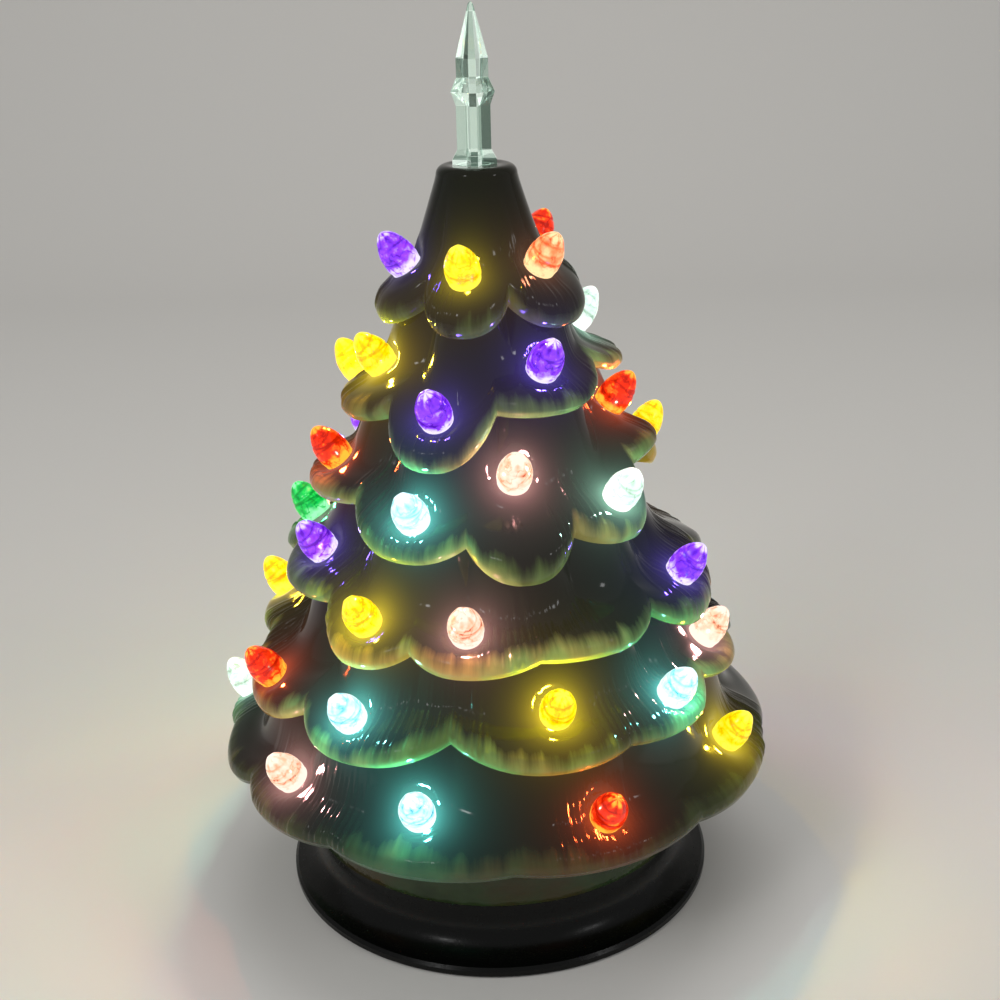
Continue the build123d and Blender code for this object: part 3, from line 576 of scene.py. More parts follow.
TIERS = (
    Tier(
        edge=165.0, notch_depth=4.5, notch_rise=6.0, undercut=3.1, band=3.0, thin=0.5, pale_side=0.0,
        lobes=(
            Lobe(-168, 0.0, BulbColour.CYAN),
            Lobe(-75, 0.5, BulbColour.PURPLE),
            Lobe(-14, 0.5, BulbColour.YELLOW),
            Lobe(47, 0.0, BulbColour.ORANGE),
            Lobe(139, 0.0, BulbColour.RED),
        ),
    ),
    Tier(
        edge=139.0, notch_depth=5.0, notch_rise=6.0, undercut=4.6, band=4.2, thin=0.8, pale_side=40.0,
        lobes=(
            Lobe(-160, 0.0, BulbColour.GREEN),
            Lobe(-110, 2.0, BulbColour.YELLOW),
            Lobe(-72, -2.0, BulbColour.YELLOW),
            Lobe(-22, 5.0, BulbColour.PURPLE),
            Lobe(30, -7.0, BulbColour.PURPLE),
            Lobe(104, -9.0, BulbColour.CLEAR),
            Lobe(150, -2.0, BulbColour.RED),
        ),
    ),
    Tier(
        edge=114.0, notch_depth=5.0, notch_rise=5.0, undercut=6.1, band=5.0, thin=0.9, pale_side=-20.0,
        lobes=(
            Lobe(-165, 0.0, BulbColour.CLEAR),
            Lobe(-128, -2.0, BulbColour.PURPLE),
            Lobe(-78, -6.0, BulbColour.RED),
            Lobe(-26, 1.0, BulbColour.CYAN),
            Lobe(10, 5.0, BulbColour.PINK),
            Lobe(45, 0.0, BulbColour.CLEAR),
            Lobe(80, -15.0, BulbColour.RED),
            Lobe(117, 0.0, BulbColour.YELLOW),
            Lobe(155, 0.0, BulbColour.GREEN),
        ),
    ),
    Tier(
        edge=89.0, notch_depth=4.5, notch_rise=5.0, undercut=6.9, band=6.0, thin=1.0, pale_side=10.0,
        lobes=(
            Lobe(-140, 0.0, BulbColour.RED),
            Lobe(-103, -7.0, BulbColour.GREEN),
            Lobe(-66, -8.0, BulbColour.PURPLE),
            Lobe(-36, 2.0, BulbColour.YELLOW, notch=0.7),
            Lobe(-7, 1.0, BulbColour.PINK, notch=0.3),
            Lobe(30, -1.0, None),
            Lobe(65, 2.0, BulbColour.PURPLE),
            Lobe(108, 0.0, None),
            Lobe(140, 0.0, BulbColour.RED),
            Lobe(166, 0.0, BulbColour.CYAN),
            Lobe(192, 0.0, BulbColour.YELLOW),
        ),
    ),
    Tier(
        edge=65.0, notch_depth=4.5, notch_rise=5.0, undercut=4.4, band=5.5, thin=1.0, pale_side=-50.0,
        lobes=(
            Lobe(-150, 0.0, BulbColour.CLEAR),
            Lobe(-104, -8.0, BulbColour.YELLOW),
            Lobe(-66, 1.0, BulbColour.RED),
            Lobe(-36, 1.0, BulbColour.CYAN, notch=1.2),
            Lobe(15, 0.0, BulbColour.YELLOW, notch=0.3),
            Lobe(46, -1.0, BulbColour.CYAN, notch=0.8),
            Lobe(73, -5.0, BulbColour.PINK),
            Lobe(102, 0.0, None),
            Lobe(131, 0.0, BulbColour.PURPLE),
            Lobe(157, 0.0, BulbColour.RED),
            Lobe(183, 0.0, BulbColour.GREEN),
        ),
    ),
    Tier(
        edge=40.5, notch_depth=3.5, notch_rise=3.5, undercut=8.4, band=7.0, thin=0.25, pale_side=-60.0,
        lobes=(
            Lobe(-138, 0.0, BulbColour.RED, notch=0.8),
            Lobe(-98, 0.0, BulbColour.CLEAR, notch=0.5),
            Lobe(-76, 0.0, None, notch=0.7),
            Lobe(-52, 0.0, BulbColour.PINK, notch=0.4),
            Lobe(-17, 0.0, BulbColour.CYAN, notch=0.3),
            Lobe(23, 0.0, BulbColour.RED, notch=0.4),
            Lobe(65, 0.0, BulbColour.YELLOW, notch=0.4),
            Lobe(98, 0.0, None, notch=0.8),
            Lobe(144, 0.0, BulbColour.PURPLE, notch=0.8),
            Lobe(190, 0.0, BulbColour.CYAN, notch=0.8),
        ),
    ),
)


@dataclass
class TreeShell:
    """Hollow ceramic tree: a trunk and tiers of lobes, each tier a closed ring that starts under the last."""

    seat_z: float = 18.0  # height at which the rim stands on the base
    shoulder_z: float = 199.0  # where the first tier leaves the trunk
    crown_z: float = 203.0
    crown_round: float = 2.4
    crown_steps: int = 9
    trunk_r: float = 10.4
    trunk_flare: float = 0.4  # how much wider the trunk is at its shoulder
    trunk_x: float = -1.4  # how far the trunk stands aside of the axis
    hole_r: float = 4.6  # hole for the topper's peg
    hole_x: float = -1.8
    hole_depth: float = 14.0
    hole_bevel: tuple[float, float] = (0.25, 0.3)  # width and height of the bevel at the hole's edge
    cone_top: tuple[float, float] = (28.5, 165.0)  # radius and height of the uppermost lobe tips
    cone_foot: tuple[float, float] = (78.5, 37.0)  # and of the lowest
    cone_belly: float = 3.0
    lobe_power: float = 2.3  # the higher, the fuller a lobe is beside its middle
    lip_roll: float = 2.2  # how far a lip is rolled in
    lip_rise: float = 1.2  # how far the crease below it lies above its edge
    bell: Pairs = ((0.09, 0.87), (0.18, 0.74), (0.28, 0.60), (0.42, 0.45), (0.66, 0.33), (0.90, 0.23),
                   (1.0, 0.12))  # slope of the first tier: share of its reach, and of its height that is left
    flare: Pairs = ((0.10, 0.82), (0.21, 0.62), (0.34, 0.46), (0.50, 0.37), (0.74, 0.29), (0.94, 0.20),
                    (1.0, 0.10))  # slope of the other tiers
    hollow: Pairs = ((6.8, 187.0), (11.5, 170.0), (22.0, 146.0), (31.5, 120.0), (40.5, 94.0), (48.0, 70.0),
                     (54.5, 45.0), (52.5, 36.0), (48.6, 24.0), (48.6, 18.0))  # radius and height inside
    hidden_depth: float = 2.0  # how deep in the wall the tiers close, behind the face of the hollow
    hidden_rise: float = 1.0  # how far above a tier's first and last rows they do
    wall_depth: float = 0.7  # how deep in the wall the inside's own skin closes
    skirt: tuple[float, float] = (58.0, 28.0)  # radius and height of the bend below the last lobes
    skirt_depth: float = 9.0  # how far the top of the skirt reaches out from the hollow
    rim_r: float = 55.0
    rim_inner_r: float = 48.6
    rim_height: float = 2.5  # height of the upright rim
    rim_depth: float = 0.8  # how deep in the wall the rim closes
    rim_close: float = 6.0  # how far above its foot it does
    edge_round: float = 0.8
    turned_columns: int = 240
    plain_lip: float = -20.0  # turned pieces count as far below the edge of a pale lip
    plain_thin_and_shade: float = 0.16  # how pale the turned pieces are: on the skirt under the last tier this is partly the glaze's own dark tone and partly painted shade
    column_pitch: float = 0.42  # width of a mesh face round a tier
    rows_per_level: int = 4
    bulb_room: tuple[float, float] = (5.05, 11.4)  # radius and length of the pocket round a bulb
    flat_r: tuple[float, float] = (4.6, 7.0)  # radius of the flat under a bulb, and of the slope round it
    flat_height: tuple[float, float] = (3.0, 8.0)  # heights off it that are moved wholly, and not at all
    painted_glow_height: float = 2.0  # height in a bulb that its painted glow on the glaze is measured from
    painted_glow_core: float = 4.0  # distance from there up to which it is full
    painted_glows: Pairs = ((0.7, 2.8), (0.09, 9.0))  # strength and reach of the painted glow on the glaze, near and far
    needle_width: float = 1.9
    needle_depth: float = 0.95
    needle_length: float = 11.0
    needle_rows: int = 64  # random heights along a needle, which then repeat
    needle_mean: float = 0.25  # taken off, so that needles stand up and sink in
    fewest_needles: int = 8
    needle_start: tuple[float, float] = (2.5, 6.0)  # distances from the lip where needles begin and are full
    needle_end: tuple[float, float] = (16.0, 28.0)  # where they fade and are gone
    brush_patch: tuple[float, float] = (-0.1, 0.8)  # heights of the waves where needles begin and are full
    brush_waves: Triples = ((6.0, 1.0, 1.7), (13.0, 0.6, 1.0))  # count, height and shift of each wave
    brush_stretch: float = 0.12  # draws the brush strokes out down the slope
    band_waves: Triples = ((5.0, 1.0, 1.0), (11.0, 0.7, 2.0))
    band_spread: float = 0.22  # how much the waves change the height of the pale lip
    pale_swing: float = 0.35  # how much the paleness of the lip changes round a tier

    def cone_radius(self, z: np.ndarray) -> np.ndarray:
        """Radius of the lobe tips: a straight cone with a slight belly, which is a parabola over its height.

        Args:
            z: heights.

        Returns:
            Radius at each height.
        """
        (top_r, top_z), (foot_r, foot_z) = self.cone_top, self.cone_foot
        t = (top_z - z) / (top_z - foot_z)
        return top_r + t * (foot_r - top_r) + 4.0 * self.cone_belly * t * (1.0 - t)

    @staticmethod
    def aside(radius: float, azimuth: np.ndarray, centre_x: float) -> np.ndarray:
        """Distance from the axis to a circle whose own centre is aside of it along X, at azimuths."""
        turn = np.radians(azimuth)
        return centre_x * np.sin(turn) + np.sqrt(radius ** 2 - (centre_x * np.cos(turn)) ** 2)

    def hollow_radius(self, z: np.ndarray) -> np.ndarray:
        """Radius of the hollow inside at heights, on straight lines between its named points."""
        radii, heights = np.array(self.hollow).T
        return np.interp(z, heights[::-1], radii[::-1])

    def lip(self, tier: Tier, azimuth: np.ndarray) -> tuple[np.ndarray, np.ndarray]:
        """Lower edge of a tier: full at the middle of each lobe, drawn in and up at the notches between.

        The fullness is 1 less a power of the share of the way from a lobe's middle to the notch.

        Args:
            tier: the tier.
            azimuth: azimuths in degrees.

        Returns:
            Radius and height at each azimuth.
        """
        middles = np.array([lobe.azimuth for lobe in tier.lobes], float)
        drops = np.array([lobe.drop for lobe in tier.lobes])
        notches = np.array([lobe.notch for lobe in tier.lobes])
        starts = np.append((middles - middles[0]) % 360.0, 360.0)
        along = (azimuth - middles[0]) % 360.0
        i = np.searchsorted(starts, along, side="right") - 1
        following = (i + 1) % len(middles)
        t = (along - starts[i]) / (starts[i + 1] - starts[i])
        fullness = 1.0 - (1.0 - np.abs(2.0 * t - 1.0)) ** self.lobe_power
        notch_z = tier.edge - (drops[i] + drops[following]) / 2.0 + notches[i] * tier.notch_rise
        notch_r = self.cone_radius(notch_z) - notches[i] * tier.notch_depth
        tip_z = tier.edge - np.where(t < 0.5, drops[i], drops[following])
        tip_r = self.cone_radius(tip_z)
        return notch_r + fullness * (tip_r - notch_r), notch_z + fullness * (tip_z - notch_z)

    def crease(self, number: int, azimuth: np.ndarray) -> tuple[np.ndarray, np.ndarray]:
        """Ring that a tier starts from: the trunk's shoulder, or the crease under the tier above.

        Args:
            number: tier, counted from 0 at the top.
            azimuth: azimuths in degrees.

        Returns:
            Radius and height at each azimuth.
        """
        if number == 0:
            shoulder = self.aside(self.trunk_r + self.trunk_flare, azimuth, self.trunk_x)
            return shoulder, np.full_like(azimuth, self.shoulder_z)
        above = TIERS[number - 1]
        r, z = self.lip(above, azimuth)
        return r - self.lip_roll - above.undercut, z + self.lip_rise

    def rings(self, number: int, azimuth: np.ndarray) -> tuple[np.ndarray, np.ndarray]:
        """Rings of a tier from its start over the lobe and round the lip into the crease below.

        Args:
            number: tier, counted from 0 at the top.
            azimuth: azimuths in degrees.

        Returns:
            Radii and heights, one row per ring.
        """
        tier = TIERS[number]
        r0, z0 = self.crease(number, azimuth)
        r1, z1 = self.lip(tier, azimuth)
        rows = [(r0, z0)]
        for reach, height in self.bell if number == 0 else self.flare:
            rows.append((r0 + reach * (r1 - r0), z1 + height * (z0 - z1)))
        # The lip bends in below the lobe, and the crease lies behind it and a little higher.
        rows.append((r1 - self.lip_roll / 4.0, z1 + self.lip_roll / 2.0))
        rows.append((r1 - self.lip_roll, z1))
        rows.append((r1 - self.lip_roll - tier.undercut, z1 + self.lip_rise))
        radii, heights = np.array(rows).transpose(1, 0, 2)
        return radii, heights

    def eased(self, rings: np.ndarray) -> np.ndarray:
        """Smooth curve through rings, a cubic between each two.

        The slope of a cubic at a ring is half the step from the ring before it to the ring after it.

        Args:
            rings: values of the rings, one row per ring.

        Returns:
            Values of the rows of the mesh.
        """
        count = len(rings)
        t = np.linspace(0.0, count - 1.0, (count - 1) * self.rows_per_level + 1)
        i = np.minimum(t.astype(int), count - 2)
        f = (t - i)[:, None]
        before, here, after, beyond = (rings[np.clip(i + k, 0, count - 1)] for k in (-1, 0, 1, 2))
        return here + 0.5 * f * (after - before + f * (2 * before - 5 * here + 4 * after - beyond
                                                       + f * (3 * (here - after) + beyond - before)))

    def needles(self, azimuth: np.ndarray, slope: np.ndarray, radius: float, seed: int) -> np.ndarray:
        """Relief of brushed needles: ridges side by side, each swelling and fading along its own length.

        Across a needle the ridge is a parabola. Along it, one random height blends into the next.

        Args:
            azimuth: azimuths of the columns in degrees.
            slope: distance down from the top of the lobe, per row and column.
            radius: radius at which a needle has its named width.
            seed: start of the random heights.

        Returns:
            Height from -0.25 to 0.75 per row and column.
        """
        draw = np.random.default_rng(seed)
        count = max(self.fewest_needles, round(2.0 * math.pi * radius / self.needle_width))
        across = (azimuth % 360.0) / 360.0 * count
        cell = across.astype(int) % count
        heights = draw.random((self.needle_rows, count))
        shift = draw.random(count) * self.needle_rows
        along = slope / self.needle_length + shift[cell]
        low = along.astype(int)
        blend = smooth(0.0, 1.0, along - low)
        this, following = heights[low % self.needle_rows, cell], heights[(low + 1) % self.needle_rows, cell]
        ridge = 1.0 - np.abs(2.0 * (across % 1.0) - 1.0) ** 2
        return ridge * (this * (1.0 - blend) + following * blend) - self.needle_mean

    @staticmethod
    def ripple(azimuth: np.ndarray, shift: float, waves: Triples) -> np.ndarray:
        """Sum of sine waves round the tree.

        Args:
            azimuth: azimuths in degrees.
            shift: turn of the waves in radians, which makes each tier's its own.
            waves: for each wave its count round the tree, its height and how often it takes the shift.

        Returns:
            Height of the sum at each azimuth.
        """
        turn = np.radians(azimuth)
        return sum(height * np.sin(count * turn + times * shift) for count, height, times in waves)

    def paleness(self, tier: Tier, azimuth: np.ndarray) -> np.ndarray:
        """How thin the dark coat is round a tier's lip: a cosine, highest on its pale side."""
        swing = self.pale_swing * np.cos(np.radians(azimuth - tier.pale_side))
        return tier.thin * (1.0 - self.pale_swing + swing)

    def band(self, tier: Tier, azimuth: np.ndarray) -> np.ndarray:
        """Height of the pale lip round a tier: a few slow waves about its middle height."""
        return tier.band * (1.0 + self.band_spread * self.ripple(azimuth, tier.edge, self.band_waves))

    def brushed(self, tier: Tier, azimuth: np.ndarray) -> np.ndarray:
        """Where the brush left needles round a tier: patches on the crests of waves, smooth glaze between."""
        return smooth(*self.brush_patch, self.ripple(azimuth, tier.edge, self.brush_waves))

    def clear(self, points: np.ndarray, seats: list[Seat]) -> np.ndarray:
        """Draws a tier back from the bulbs of other tiers: points in a bulb's room move out to its wall.

        Args:
            points: points of the tier.
            seats: places of those bulbs.

        Returns:
            The points after the moves.
        """
        room_r, room_length = self.bulb_room
        for seat in seats:
            away = points - seat.foot
            height = away @ seat.axis
            sideways = away - height[..., None] * seat.axis
            distance = np.linalg.norm(sideways, axis=-1)
            inside = (height > 0.0) & (height < room_length) & (distance < room_r)
            push = np.where(inside, room_r - distance, 0.0) / (distance + TINY)
            points = points + push[..., None] * sideways
        return points

    def press(self, points: np.ndarray, seats: list[Seat]) -> np.ndarray:
        """Presses a small flat into the glaze under every bulb, blended into the slope round it.

        A point moves along the bulb's axis to the level of its foot, wholly in the flat and less beside it.

        Args:
            points: points of a tier.
            seats: places of its own bulbs.

        Returns:
            The points after the moves.
        """
        for seat in seats:
            away = points - seat.foot
            height = away @ seat.axis
            sideways = np.linalg.norm(away - height[..., None] * seat.axis, axis=-1)
            hold = (1.0 - smooth(*self.flat_r, sideways)) * (1.0 - smooth(*self.flat_height, np.abs(height)))
            points = points - (hold * height)[..., None] * seat.axis
        return points

    def painted_glow(self, points: np.ndarray, seats: list[Seat]) -> np.ndarray:
        """Painted glow of the bulbs' light on the glaze: beyond a full core, each colour falls off
        exponentially.

        Args:
            points: points of a tier.
            seats: places of all bulbs.

        Returns:
            Linear red, green and blue of the painted glow at each point.
        """
        light = np.zeros_like(points)
        for seat in seats:
            distance = np.linalg.norm(points - seat.foot - self.painted_glow_height * seat.axis, axis=-1)
            beyond = np.maximum(distance - self.painted_glow_core, 0.0)
            fade = sum(strength * np.exp(-beyond / reach) for strength, reach in self.painted_glows)
            light += seat.shine * fade[..., None] * np.array(seat.colour.thrown)
        return light

    def tier_skin(self, number: int, seats: list[Seat]) -> Surface:
        """Closed skin of one tier.

        Args:
            number: tier, counted from 0 at the top.
            seats: places of all bulbs.

        Returns:
            The tier with its marks: distance above the pale lip, thinness of the dark coat, brushed places,
            direction of the brush, and the painted glow of the bulbs.
        """
        tier = TIERS[number]
        edge_r = float(self.cone_radius(np.array(tier.edge)))
        columns = round(2.0 * math.pi * edge_r / self.column_pitch)
        azimuth = np.arange(columns) * 360.0 / columns
        radii, heights = (self.eased(values) for values in self.rings(number, azimuth))
        level = outward(azimuth)
        points = radii[..., None] * level + heights[..., None] * UP
        steps = np.linalg.norm(np.diff(points, axis=0), axis=-1)
        slope = np.concatenate([np.zeros((1, columns)), np.cumsum(steps, axis=0)])
        edge_row = (len(self.flare) + 2) * self.rows_per_level  # the ring at the lip's lower edge
        lip = slope[edge_row] - slope
        along_row = np.roll(points, -1, axis=1) - np.roll(points, 1, axis=1)
        normal = np.cross(np.gradient(points, axis=0), along_row)
        normal /= np.linalg.norm(normal, axis=-1, keepdims=True) + TINY
        zone = smooth(*self.needle_start, lip) * (1.0 - smooth(*self.needle_end, lip))
        mask = zone * self.brushed(tier, azimuth)
        relief = self.needles(azimuth, slope, edge_r, seed=number) * mask * self.needle_depth
        points = points + relief[..., None] * normal
        points = self.press(points, [seat for seat in seats if seat.tier == number])
        points = self.clear(points, [seat for seat in seats if seat.tier != number])
        turn = np.radians(azimuth)
        brush = np.stack(np.broadcast_arrays(
            edge_r * np.sin(turn), edge_r * np.cos(turn), self.brush_stretch * slope), axis=-1)
        # Glow of the bulbs' light, painted on the glaze and shown by its finish as emission.
        light = self.painted_glow(points, seats)
        hidden = self.hidden_rows(number, points, level)
        top, foot = hidden[:-1], hidden[-1:]
        points = np.concatenate([top, points, foot])
        pad = ((len(top), len(foot)), (0, 0))
        return Surface.around(points, ring=True, marks={
            "lip": np.pad(lip - self.band(tier, azimuth), pad, mode="edge"),
            "thin": np.tile(self.paleness(tier, azimuth), (len(points), 1)),
            "needle": np.pad(mask, pad),
            "brush": np.pad(brush, (*pad, (0, 0)), mode="edge"),
            "painted_glow": np.pad(light, (*pad, (0, 0)), mode="edge"),
        })

    def hidden_rows(self, number: int, points: np.ndarray, level: np.ndarray) -> np.ndarray:
        """Rows that close a tier inside the wall, and for the first tier the crown with its hole.

        Args:
            number: tier, counted from 0 at the top.
            points: rows of the tier that show.
            level: unit vectors of the columns.

        Returns:
            Rows to put above the tier, and as the last one the row to put below it.
        """
        end_z = points[[0, -1], :, 2] + self.hidden_rise
        ends = (self.hollow_radius(end_z) + self.hidden_depth)[..., None] * level + end_z[..., None] * UP
        if number > 0:
            return ends
        azimuth = np.degrees(np.arctan2(level[:, 0], -level[:, 1]))
        hole = self.aside(self.hole_r, azimuth, self.hole_x)[:, None] * level
        bevel_width, bevel_height = self.hole_bevel
        rows = [hole + (self.crown_z - self.hole_depth) * UP, hole + (self.crown_z - bevel_height) * UP]
        rows.append(hole + bevel_width * level + self.crown_z * UP)
        # The crown's edge is a quarter circle from its level top to the upright trunk.
        for turn in np.radians(np.linspace(90.0, 0.0, self.crown_steps)):
            r = self.trunk_r - self.crown_round + self.crown_round * math.cos(turn)
            z = self.crown_z - self.crown_round + self.crown_round * math.sin(turn)
            rows.append(self.aside(r, azimuth, self.trunk_x)[:, None] * level + z * UP)
        return np.stack([*rows, ends[1]])

    def turned(self, outline: list[tuple[float, float]]) -> Surface:
        """Closed outline turned round the axis.

        Args:
            outline: radius and height of its corners.

        Returns:
            The skin, with the marks of plain glaze.
        """
        level = outward(np.arange(self.turned_columns) * 360.0 / self.turned_columns)
        rows = np.array(outline)
        points = rows[:, None, :1] * level + rows[:, None, 1:] * UP
        flat = np.zeros(points.shape[:2])
        return Surface.around(points, ring=True, marks={
            "lip": flat + self.plain_lip,
            # On the skirt below the last lobes this low paleness is partly the glaze's own dark tone and
            # partly painted shade.
            "thin": flat + self.plain_thin_and_shade,
            "needle": flat,
            "brush": points,
            # Turned pieces get none of the painted bulb glow.
            "painted_glow": np.zeros_like(points),
        })

    def rim_skin(self) -> Surface:
        """Plain skirt and rim below the last lobes, closed inside the wall.

        Returns:
            The skin.
        """
        top_z = TIERS[-1].edge + self.lip_rise + self.hidden_rise
        top_r = self.hollow_radius(top_z)
        inner_r = self.rim_inner_r + self.rim_depth
        return self.turned([
            (top_r + self.rim_depth, top_z),
            (top_r + self.skirt_depth, top_z),
            self.skirt,
            (self.rim_r, self.seat_z + self.rim_height),
            (self.rim_r, self.seat_z + self.edge_round),
            (self.rim_r - self.edge_round, self.seat_z),
            (inner_r, self.seat_z),
            (inner_r, self.seat_z + self.rim_close),
        ])

    def wall_skin(self) -> Surface:
        """Bare inside wall: the hollow's outline, closed a little way into the ceramic."""
        behind = [(r + self.wall_depth, z) for r, z in self.hollow]
        return self.turned([*behind, *reversed(self.hollow)])

    def build(self, finish: bpy.types.Material, bisque: bpy.types.Material, seats: list[Seat]) -> None:
        """Builds the tiers, the rim and the inside wall, and lets them ride on the tree.

        Args:
            finish: glaze of the tree.
            bisque: bare ceramic of its inside.
            seats: places of all bulbs.
        """
        glazed = {f"glazed_tier_{i + 1}": self.tier_skin(i, seats) for i in range(len(TIERS))}
        glazed["glazed_rim"] = self.rim_skin()
        for name, skin in glazed.items():
            piece = skin.put(name, finish)
            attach(piece, "tree")
            if name == "glazed_tier_1":
                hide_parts("tree_shell")
            log.info("%s: %d points", name, len(skin.points))
        wall = self.wall_skin().put("bisque_inner_wall", bisque)
        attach(wall, "tree")
        log.info("bisque_inner_wall")


@dataclass
class Bulbs:
    """Push-in plastic bulbs: a pegged cone with slanting ring grooves, and flats round its rounded tip."""

    length: float = 11.4
    widest_r: float = 4.5
    waist: float = 3.6  # height up to which the bulb has its full width
    waist_share: float = 0.6  # the full width starts at this share of that height
    handles: tuple[float, float] = (0.62, 0.5)  # height and radius of the curve's handles, as shares
    last_row: float = 0.985  # share of the curve at the row next to the tip
    foot_r: float = 3.6
    bead: tuple[float, float, float] = (0.6, 0.7, 0.25)  # how far the foot's bead stands out, its two heights
    peg_r: float = 1.6
    peg_length: float = 7.0
    peg_step: float = 0.05  # how far below the foot the peg starts
    tilt: float = 55.0
    near: float = 1.3  # points this close to a lobe's middle plane, in radii, are its bulb's
    grooves: tuple[float, ...] = (0.34, 0.47, 0.60, 0.73)  # places of the ring grooves along the bulb
    groove_width: float = 0.24
    groove_depth: float = 0.14
    groove_slant: float = 0.7
    groove_turn: float = 2.0  # turn of the slant from one groove to the next, in radians
    groove_fade: tuple[float, float] = (-1.3, 0.3)  # a sine round the bulb: a groove is gone, and full
    fade_turn: float = 2.4  # turn of that sine, times the square of the groove's number
    flutes: int = 6  # flats round the tip
    flute_depth: float = 0.07
    flute_zone: tuple[float, float] = (0.55, 0.8)  # shares of the length where they start and are full
    flute_edge: tuple[float, float] = (0.7, 1.0)  # depths of a flat between which it turns dark
    flute_shade: float = 0.7  # how dark that is, as a share of a groove
    rim_glow: float = 0.55  # how much brighter the rim at the foot and the lens at the tip are
    rim_zone: tuple[float, float] = (0.12, 0.36)  # shares of the length where the rim's glow fades
    lens_zone: tuple[float, float] = (0.86, 0.95)  # and where the lens's comes
    columns: int = 40
    rows: int = 44
    tier_turn: float = 53.0  # turn of the bulbs from tier to tier, in degrees
    bulb_turn: float = 97.0  # and from bulb to bulb
    light_power: float = 0.04  # of the lamp in a bulb, in watts
    light_radius: float = 0.65
    light_place: float = 0.5  # share of the bulb's length at which its lamp is

    def seats(self) -> list[list[Seat]]:
        """Finds where every bulb of the frame stands, from the tip of each solid.

        Returns:
            The seats of each tier.
        """
        found = []
        for number, tier in enumerate(TIERS, start=1):
            found.append([])
            for lobe in tier.lobes:
                if lobe.colour is None:
                    continue
                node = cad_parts[f"tier_{number}_{lobe.colour.label}_bulbs"]
                points = np.empty(len(node.data.vertices) * 3, np.float32)
                node.data.vertices.foreach_get("co", points)
                points = points.reshape(-1, 3).astype(float) / MM
                axis = outward(np.array(lobe.azimuth), self.tilt)
                side = outward(np.array(lobe.azimuth + 90.0))
                own = np.abs(points @ side) < self.near * self.widest_r
                own &= points @ outward(np.array(lobe.azimuth)) > 0.0
                tip = points[own][np.argmax(points[own] @ axis)]
                found[-1].append(Seat(tip - self.length * axis, axis, side, lobe.colour, number - 1))
        return found

    def outline(self, share: np.ndarray) -> np.ndarray:
        """Curve of a bulb from its waist to its tip.

        It is a cubic Bezier curve, upright at the waist and level at the tip.

        Args:
            share: places along the curve, from 0 to 1.

        Returns:
            Radius and height at each place.
        """
        t = share[:, None]
        handle_z, handle_r = self.handles
        start = np.array([self.widest_r, self.waist])
        after_start = np.array([self.widest_r, handle_z * self.length])
        before_end = np.array([handle_r * self.widest_r, self.length])
        end = np.array([0.0, self.length])
        return ((1 - t) ** 3 * start + 3 * t * (1 - t) ** 2 * after_start + 3 * t ** 2 * (1 - t) * before_end
                + t ** 3 * end)

    def grooved(self, height: np.ndarray, turn: np.ndarray) -> np.ndarray:
        """Ring grooves: bells across the bulb, slanting by a cosine round it and fading out on one side.

        Args:
            height: heights of the rows.
            turn: angles of the columns in radians.

        Returns:
            Depth from 0 to 1 per row and column.
        """
        depth = np.zeros((len(height), len(turn)))
        for count, place in enumerate(self.grooves):
            middle = place * self.length + self.groove_slant * np.cos(turn + self.groove_turn * count)
            fade = smooth(*self.groove_fade, np.sin(turn + self.fade_turn * count * count))
            depth += fade * np.exp(-((height[:, None] - middle) / self.groove_width) ** 2)
        return depth

    def skin(self, turned: float) -> Surface:
        """One bulb with Z along it: a rounded cone with slanting ring grooves, and flats round its tip.

        Args:
            turned: turn of the grooves and flats about the bulb, in degrees.

        Returns:
            The bulb on its peg, with its grooves and its bright ends marked.
        """
        bead_out, bead_high, bead_low = self.bead
        high = self.outline(np.linspace(self.last_row, 0.0, self.rows))
        low = np.array([
            [self.widest_r, self.waist_share * self.waist],
            [self.foot_r + bead_out, bead_high],
            [self.foot_r + bead_out, bead_low],
            [self.foot_r, 0.0],
            [self.peg_r, -self.peg_step],
            [self.peg_r, -self.peg_length],
        ])
        radius, height = np.concatenate([high, low]).T
        share = height[:, None] / self.length
        azimuth = np.arange(self.columns) * 360.0 / self.columns
        turn = np.radians(azimuth + turned)
        groove = self.grooved(height, turn)
        flats = smooth(*self.flute_zone, share) * np.abs(np.sin(0.5 * self.flutes * turn))
        drawn_in = radius[:, None] * (1.0 - self.flute_depth * flats) - self.groove_depth * groove
        points = drawn_in[..., None] * outward(azimuth) + height[:, None, None] * UP
        shade = np.clip(groove + self.flute_shade * smooth(*self.flute_edge, flats), 0.0, 1.0)
        lens = self.rim_glow * (1.0 - smooth(*self.rim_zone, share) + smooth(*self.lens_zone, share))
        return Surface.around(points, top=self.length * UP, foot=-self.peg_length * UP,
                              marks={"groove": shade, "lens": np.repeat(lens, self.columns, axis=1)})

    def build(self, seats: list[list[Seat]]) -> None:
        """Builds one piece per tier and colour, with a small lamp in each bulb.

        Args:
            seats: places of the bulbs of each tier.
        """
        finishes = {colour: colour.finish().material() for colour in BulbColour}
        for number, tier_seats in enumerate(seats, start=1):
            for colour in BulbColour:
                mine = [seat for seat in tier_seats if seat.colour is colour]
                if not mine:
                    continue
                node = f"tier_{number}_{colour.label}_bulbs"
                turns = [self.tier_turn * number + self.bulb_turn * count for count in range(len(mine))]
                skin = Surface.joined([self.skin(turned).carried(seat.foot, seat.axis, seat.side)
                                       for turned, seat in zip(turns, mine)])
                piece = skin.put(f"lit_{node}", finishes[colour])
                # The lamps inside light the glaze and glint in it, so the bulbs themselves do neither.
                piece.visible_shadow = False
                piece.visible_glossy = False
                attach(piece, "tree")
                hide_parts(node)
                for count, seat in enumerate(mine, start=1):
                    self.put_lamp(f"lamp_{node}_{count}", seat)
        log.info("bulbs: %d", sum(len(tier_seats) for tier_seats in seats))

